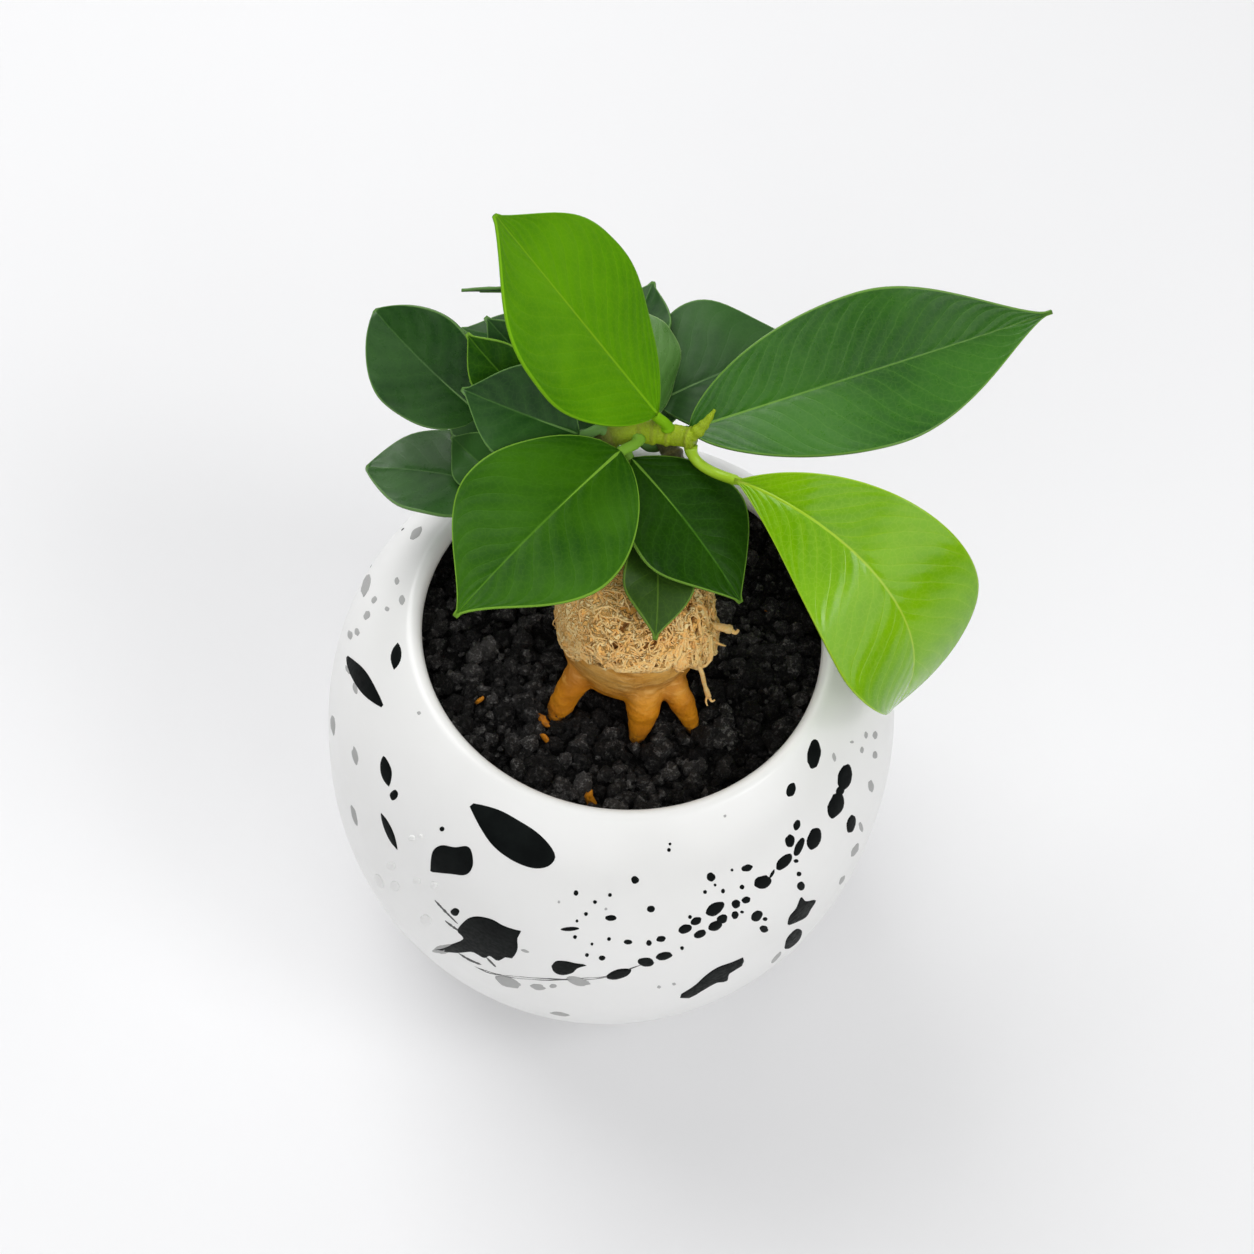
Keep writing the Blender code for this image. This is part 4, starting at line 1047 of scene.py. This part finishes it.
leaves = {
    "stem_front": {
        "leaf_top": {"at": 0.8, "base": (1, 21.1, 133.5), "heading": 162, "rise": 47, "roll": 4,
                     "length": 46, "width": 40, "peak": 0.58, "tipPower": 1.1, "droop": 6, "sweep": -7,
                     "twist": 12, "fold": 2, "finish": "top", "slot": "leaf_bright"},
        "leaf_right": {"at": 0.9, "base": (7, 23.7, 126.6), "heading": 19, "rise": 18, "roll": 22,
                       "length": 68, "width": 29, "peak": 0.5, "basePower": 0.63, "tipPower": 1.32,
                       "droop": 16, "sweep": 1, "twist": 19, "fold": 20, "finish": "right",
                       "slot": "leaf_green"},
        "leaf_lime": {"at": 0.97, "base": (16, 14, 127), "heading": -40, "rise": 34, "roll": 46,
                      "length": 67, "width": 31, "peak": 0.64, "basePower": 1.12, "tipPower": 0.83,
                      "droop": 130, "sweep": -60, "twist": -42, "fold": 5, "finish": "lime",
                      "slot": "leaf_bright"},
        "leaf_front": {"at": 0.66, "base": (-4.5, 15.2, 129.4), "heading": -125, "rise": 1, "roll": -8,
                       "length": 42, "width": 32, "peak": 0.51, "basePower": 0.57, "tipPower": 1.35,
                       "droop": 18, "sweep": 1, "twist": 14, "fold": 1, "finish": "front",
                       "slot": "leaf_green"},
        "leaf_shaded": {"at": 0.6, "base": (-2.4, 17.6, 124.1), "heading": -40, "rise": -8, "roll": -1,
                        "length": 32, "width": 23, "droop": 19, "sweep": -5, "fold": 4, "finish": "shaded"},
        "leaf_point": {"at": 0.22, "base": (3, 9.3, 117.4), "heading": -77, "rise": -5, "roll": -5,
                       "length": 22, "width": 13, "peak": 0.53, "tipPower": 1.35, "droop": 12, "sweep": -10,
                       "fold": 12, "finish": "point"},
        "leaf_grey": {"at": 0.5, "base": (-12, 18.2, 128.6), "heading": 176, "rise": 14, "roll": -30,
                      "length": 22, "width": 18, "droop": 18, "sweep": -6, "fold": 12},
        "leaf_glossy": {"at": 0.74, "base": (1, 28.9, 122.2), "heading": 106, "rise": 53, "roll": 54,
                        "length": 20, "width": 20, "peak": 0.53, "basePower": 0.71, "droop": 11, "sweep": 6,
                        "twist": 11, "fold": 9, "finish": "pale"}},
    "stem_left": {
        "leaf_left": {"at": 0.95, "base": (-30.3, 26.8, 118.6), "heading": 161, "rise": 29, "roll": -43,
                      "length": 27, "width": 20.5, "peak": 0.5, "basePower": 0.5, "tipPower": 0.77,
                      "droop": 29, "sweep": -6, "fold": 18, "finish": "side"},
        "leaf_nook": {"at": 0.88, "base": (-21, 25.4, 125.8), "heading": 159, "rise": 30, "roll": -42,
                      "length": 17, "width": 11, "droop": 21, "sweep": -8, "fold": 14, "finish": "front"},
        "leaf_nook_back": {"at": 0.8, "base": (-17.8, 30, 124), "heading": 152, "rise": 32, "roll": -30,
                           "length": 18, "width": 11, "fold": 14},
        "leaf_low_left": {"at": 0.5, "base": (-21.5, 17.6, 108.5), "heading": 175, "rise": 13, "roll": 11,
                          "length": 29, "width": 22, "peak": 0.55, "tipPower": 0.8, "droop": 27, "fold": 3,
                          "finish": "side"},
        "leaf_curl": {"at": 0.65, "base": (-24, 15.2, 114.1), "heading": 147, "rise": 7, "roll": -37,
                      "length": 15, "width": 11, "droop": 25, "fold": 6},
        "leaf_rear_low": {"at": 0.45, "base": (-15, 20.3, 107.6), "heading": 141, "rise": 12, "roll": 8,
                          "length": 30, "width": 20, "droop": 26}},
    "stem_back": {
        "leaf_broad": {"at": 0.85, "base": (0.5, 34, 119), "heading": 30, "rise": 18, "roll": -5,
                       "length": 31, "width": 33, "peak": 0.42, "tipPower": 1.3, "droop": 22, "fold": 8},
        "leaf_peek": {"at": 0.95, "base": (-6.5, 39.7, 118.1), "heading": 82, "rise": 22, "roll": -20,
                      "length": 20, "width": 15, "droop": 18},
        "leaf_thin": {"at": 0.97, "base": (-11.5, 50.8, 128.6), "heading": 193, "rise": 6, "roll": 54,
                      "length": 26, "width": 12, "droop": 3, "fold": 5},
        "leaf_far_left": {"at": 0.7, "base": (-10, 38.8, 118.1), "heading": 163, "rise": 12, "roll": 10,
                          "length": 28, "width": 18, "droop": 26},
        "leaf_rear": {"at": 0.6, "base": (2, 33.7, 111.2), "heading": 106, "rise": 14, "roll": 0,
                      "length": 25, "width": 20, "droop": 30},
        "leaf_rear_left": {"at": 0.5, "base": (-7, 29, 113), "heading": 138, "rise": 12, "roll": 0,
                           "length": 34, "width": 22, "droop": 26}},
}
blade = {"thickness": 0.55, "cell": 1.1, "fewestCells": 18, "acrossCells": 28, "tipWidth": 0.4,
         "veinGap": 3.7, "veinLean": 1.05, "waves": 5, "groove": 0.2, "grooveWidth": 0.55, "quilt": 0.012,
         "stalk": 0.95, "stalkSteps": 22, "stalkFoot": 0.35, "footLength": 0.12, "stalkSunk": 0.8,
         "stalkBend": 0.4, "rib": 0.75, "ribEnd": 0.3, "ribDrop": 0.5, "ribShare": 0.86, "ribRise": 0.55,
         "relief": 0.00005, "stalkRoughness": (0.35, 0.5), "stalkRelief": 0.0001}


def leafMaterial(name, look):
    material, tree, shader = newMaterial(name, Specular_IOR_Level=look["shine"])
    uv = put(tree, "ShaderNodeUVMap", {}, uv_map="blade").outputs["UV"]
    split = put(tree, "ShaderNodeSeparateXYZ", {0: uv})
    lines = put(tree, "ShaderNodeGroup", {
        "Across": maths(tree, "MULTIPLY_ADD", split.outputs["X"], 2.0, -1.0), "Along": split.outputs["Y"],
        "Count": attribute(tree, "sideVeins"), "Slant": attribute(tree, "slant"),
        "From Rib": attribute(tree, "fromRib")}, node_tree=veins)
    rib, sides, height, between = (lines.outputs[key] for key in ("Rib", "Sides", "Height", "Between"))
    cells = put(tree, "ShaderNodeTexVoronoi", {"Vector": objectPlace(tree), "Scale": 900.0},
                feature="DISTANCE_TO_EDGE").outputs["Distance"]
    patches, _ = mottled(tree, 55.0, 0.5)
    grain, specks = mottled(tree, 500.0)
    below = attribute(tree, "below")
    # painted shade and painted light, in random patches over the blade
    colour = tint(tree, patches, look["paintedShade"], look["lit"])
    # each layer: where it lies, and its colour; the lit colour beside the side veins is painted light
    for mask, layer in ((ramp(tree, between, 0, 1, 0.3, 0.0), "lit"),
                        (times(tree, sides, look["vein"]), "rib"),
                        (ramp(tree, cells, 0.0, 0.12, 0.12, 0.0), "rib"),
                        (times(tree, rib, 0.85), "rib"), (below, "under"),
                        # the edge colour along the rim is a painted highlight, light caught by and shining
                        # through the rim
                        (ramp(tree, attribute(tree, "fromRim"), 0.1, 0.36, 0.8, 0.0), "edge")):
        colour = tint(tree, mask, colour, look[layer])
    rough = ramp(tree, grain, 0, 1, look["gloss"] - 0.05, look["gloss"] + 0.06)
    relief = plus(tree, height, times(tree, specks, 0.06))
    relief = maths(tree, "SUBTRACT", relief, times(tree, sides, 0.35))
    surface(tree, shader, colour, plus(tree, rough, times(tree, below, 0.2)), relief,
            look.get("relief", blade["relief"]))
    return material


def stalkMaterial(name, colour):
    material, tree, shader = newMaterial(name, IOR=1.45)
    tones, specks = mottled(tree, 300.0)
    surface(tree, shader, tint(tree, tones, dimmed(colour, 0.8), colour),
            ramp(tree, specks, 0, 1, *blade["stalkRoughness"]), specks, blade["stalkRelief"])
    return material


def leafFrames(leaf, count):
    # places along the midrib, each with the way forward, to the right and up
    heading, rise, roll = (math.radians(leaf[key]) for key in ("heading", "rise", "roll"))
    forward = Vector((math.cos(rise) * math.cos(heading), math.cos(rise) * math.sin(heading), math.sin(rise)))
    up = Vector((-math.sin(rise) * math.cos(heading), -math.sin(rise) * math.sin(heading), math.cos(rise)))
    up.rotate(Quaternion(forward, roll))
    right = forward.cross(up)
    place = Vector(leaf["base"])
    step = leaf["length"] / count
    bend, sweep, twist = (math.radians(leaf[key]) / count for key in ("droop", "sweep", "twist"))
    made = [(place.copy(), forward.copy(), right.copy(), up.copy())]
    for _ in range(count):
        before = forward.copy()
        forward.rotate(Quaternion(right, -bend))
        up.rotate(Quaternion(right, -bend))
        forward.rotate(Quaternion(up, sweep))
        up.rotate(Quaternion(forward, twist))
        right = forward.cross(up).normalized()
        place = place + (before + forward) / 2 * step
        made.append((place.copy(), forward.copy(), right.copy(), up.copy()))
    return made


def halfWidth(leaf, share):
    if share < leaf["peak"]:
        swell = math.sin(math.pi / 2 * share / leaf["peak"]) ** leaf["basePower"]
    else:
        rest = (share - leaf["peak"]) / (1 - leaf["peak"])
        swell = max(math.cos(math.pi / 2 * rest), 0) ** leaf["tipPower"]
    return max(leaf["width"] / 2 * swell, blade["tipWidth"])


def bladeShape(leaf, frames, steps):
    # the flat blade, bent to the leaf's frames
    fold = math.radians(leaf["fold"])
    sideVeins = round(leaf["length"] / blade["veinGap"])
    slant = leaf["width"] / 2 * blade["veinLean"] / leaf["length"]
    bm = bmesh.new()
    bmesh.ops.create_grid(bm, x_segments=blade["acrossCells"], y_segments=steps, size=1)
    fromRim, fromRib, veinCount, veinSlant, _ = (
        bm.verts.layers.float.new(key) for key in ("fromRim", "fromRib", "sideVeins", "slant", "below"))
    uvLayer = bm.loops.layers.uv.new("blade")
    for face in bm.faces:
        for loop in face.loops:
            loop[uvLayer].uv = ((loop.vert.co.x + 1) / 2, (loop.vert.co.y + 1) / 2)
    for vertex in bm.verts:
        share = (vertex.co.y + 1) / 2
        side = vertex.co.x
        spread = abs(side)
        spread -= 0.62 * math.sin(math.tau * spread) / math.tau      # cells crowd at the rib and the rim
        side = math.copysign(spread, side)
        place, _, right, up = frames[round(share * steps)]
        width = halfWidth(leaf, share)
        out = spread * width
        ripple = math.sin(math.pi * (blade["waves"] * share + 0.4 * math.copysign(1, side)))
        lift = leaf["wave"] * spread ** 2 * ripple * (width / (leaf["width"] / 2))
        lift -= blade["groove"] * bell(out, blade["grooveWidth"]) * clamp(width / 3) * (1 - share * 0.6)
        phase = (share - slant * spread ** 1.25) * sideVeins + (0.45 if side > 0 else 0) + 0.25
        lift += blade["quilt"] * (abs((phase % 1) - 0.5) * -2 + 0.5) \
            * clamp(out / 3) * clamp((1 - spread) * 6)
        rise = (math.sqrt(out ** 2 + 0.16) - 0.4) * math.sin(fold)      # rounded where it folds
        vertex.co = place + right * side * width * math.cos(fold) + up * (rise + lift)
        vertex[fromRim] = min(width - out, (1 - share) * leaf["length"] * 0.5)
        vertex[fromRib] = out
        vertex[veinCount] = sideVeins
        vertex[veinSlant] = slant
    welded(bm, 0.0005)
    return bm


def stalkLine(leaf, stem, frames, steps):
    # from the shoot in a bend to the blade's foot, and on along the midrib
    base, forward, _, up = frames[0]
    centre, way = stemPlace(stem, leaf["at"])
    base = base - up * blade["ribDrop"]
    out = base - centre
    out = (out - way * out.dot(way)).normalized()
    start = centre + out * stemRadius(stem, leaf["at"]) * blade["stalkSunk"]
    reach = (base - start).length * blade["stalkBend"]
    corners = (start, start + out * reach, base - forward * reach, base)
    path = []
    radii = []
    for i in range(blade["stalkSteps"]):
        u = i / blade["stalkSteps"]
        weights = ((1 - u) ** 3, 3 * u * (1 - u) ** 2, 3 * u ** 2 * (1 - u), u ** 3)
        path.append(sum((c * w for c, w in zip(corners, weights)), Vector()))
        radii.append(blade["stalk"] * (1 + blade["stalkFoot"] * bell(u, blade["footLength"])))
    ribSteps = round(steps * blade["ribShare"])
    for i in range(ribSteps + 1):
        place, _, _, up = frames[i]
        share = i / ribSteps
        path.append(place - up * (blade["ribDrop"] * (1 - share * blade["ribRise"])))
        radii.append(blade["rib"] + (blade["ribEnd"] - blade["rib"]) * share ** 0.8)
    return path, radii


def makeLeaf(name, leaf, stem):
    steps = max(blade["fewestCells"], round(leaf["length"] / blade["cell"]))
    frames = leafFrames(leaf, steps)
    midUp = frames[steps // 2][3]
    bm = bladeShape(leaf, frames, steps)
    if sum((face.normal.dot(midUp) for face in bm.faces), 0.0) < 0:
        bmesh.ops.reverse_faces(bm, faces=bm.faces)
    flat = len(bm.verts)
    shell = applied(meshOf(bm, name), ("SOLIDIFY", {"thickness": blade["thickness"], "offset": 0}))
    # the shell's vertices come in two layers, one side of the blade after the other
    bm = bmesh.new()
    bm.from_mesh(shell)
    bm.verts.ensure_lookup_table()
    below = bm.verts.layers.float["below"]
    probe = flat // 2
    upper = (bm.verts[probe].co - bm.verts[probe + flat].co).dot(midUp) > 0
    for vertex in bm.verts:
        vertex[below] = float((vertex.index < flat) != upper)
    bladeFaces = len(bm.faces)
    bm.from_mesh(meshOf(tubes([stalkLine(leaf, stem, frames, steps)], 3), "stalk"))
    bm.faces.ensure_lookup_table()
    for face in bm.faces[bladeFaces:]:
        face.material_index = 1
    addPiece(name + "_blade", meshOf(bm, name), leaf["slot"], leafMaterials[leaf["finish"]], name)


leafMaterials = {key: [leafMaterial(key + "Blade", look), stalkMaterial(key + "Stalk", look["stalk"])]
                 for key, look in leafFinish.items()}
for stemName, grown in leaves.items():
    for name, leaf in grown.items():
        makeLeaf(name, {**leafShape, **leaf}, stems[stemName])
print("leaves done")


# each light: place, size and power
studio = {"floor": (0.84, 0.84, 0.85), "sky": 0.22, "mirrored": 0.3, "aim": (0, 0, 0.08), "lights": {
    "windowLight": ((-0.55, 0.5, 0.9), 0.8, 7.1), "backLight": ((0, 0.9, 0.8), 0.9, 2.4),
    "frontLight": ((-0.2, -0.8, 0.7), 0.9, 3.1), "rightLight": ((0.7, -0.5, 0.7), 0.8, 3.5),
    "glossLight": ((0.56, -0.18, 0.9), 0.26, 1.2), "topLight": ((0, 0, 1.3), 0.9, 1.4)}}
floorShape = bmesh.new()
bmesh.ops.create_grid(floorShape, x_segments=2, y_segments=2, size=2.5)
floor = newObject("floor", meshOf(floorShape, "floor"))
paper, tree, shader = newMaterial("palePaper", Roughness=0.9)
tree.links.new(tint(tree, mottled(tree, 5.0)[0], studio["floor"], dimmed(studio["floor"], 1.01)),
               shader.inputs["Base Color"])
floor.data.materials.append(paper)

world = bpy.data.worlds.new("studio")
world.use_nodes = True
# gloss sees less of the room's white than matt surfaces do
seen = put(world.node_tree, "ShaderNodeLightPath", {}).outputs["Is Glossy Ray"]
level = maths(world.node_tree, "MULTIPLY_ADD", seen, studio["sky"] * (studio["mirrored"] - 1), studio["sky"])
sky = world.node_tree.nodes["Background"]
sky.inputs["Color"].default_value = (1, 1, 1, 1)
world.node_tree.links.new(level, sky.inputs["Strength"])
bpy.context.scene.world = world
bpy.context.scene.view_settings.view_transform = "Standard"


def addLight(name, place, size, power):
    lamp = bpy.data.lights.new(name, "AREA")
    lamp.size = size
    lamp.energy = power
    holder = newObject(name, lamp)
    holder.location = place
    holder.rotation_mode = "QUATERNION"
    holder.rotation_quaternion = (Vector(studio["aim"]) - Vector(place)).to_track_quat("-Z", "Y")


for name, (place, size, power) in studio["lights"].items():
    addLight(name, place, size, power)
print("studio done")
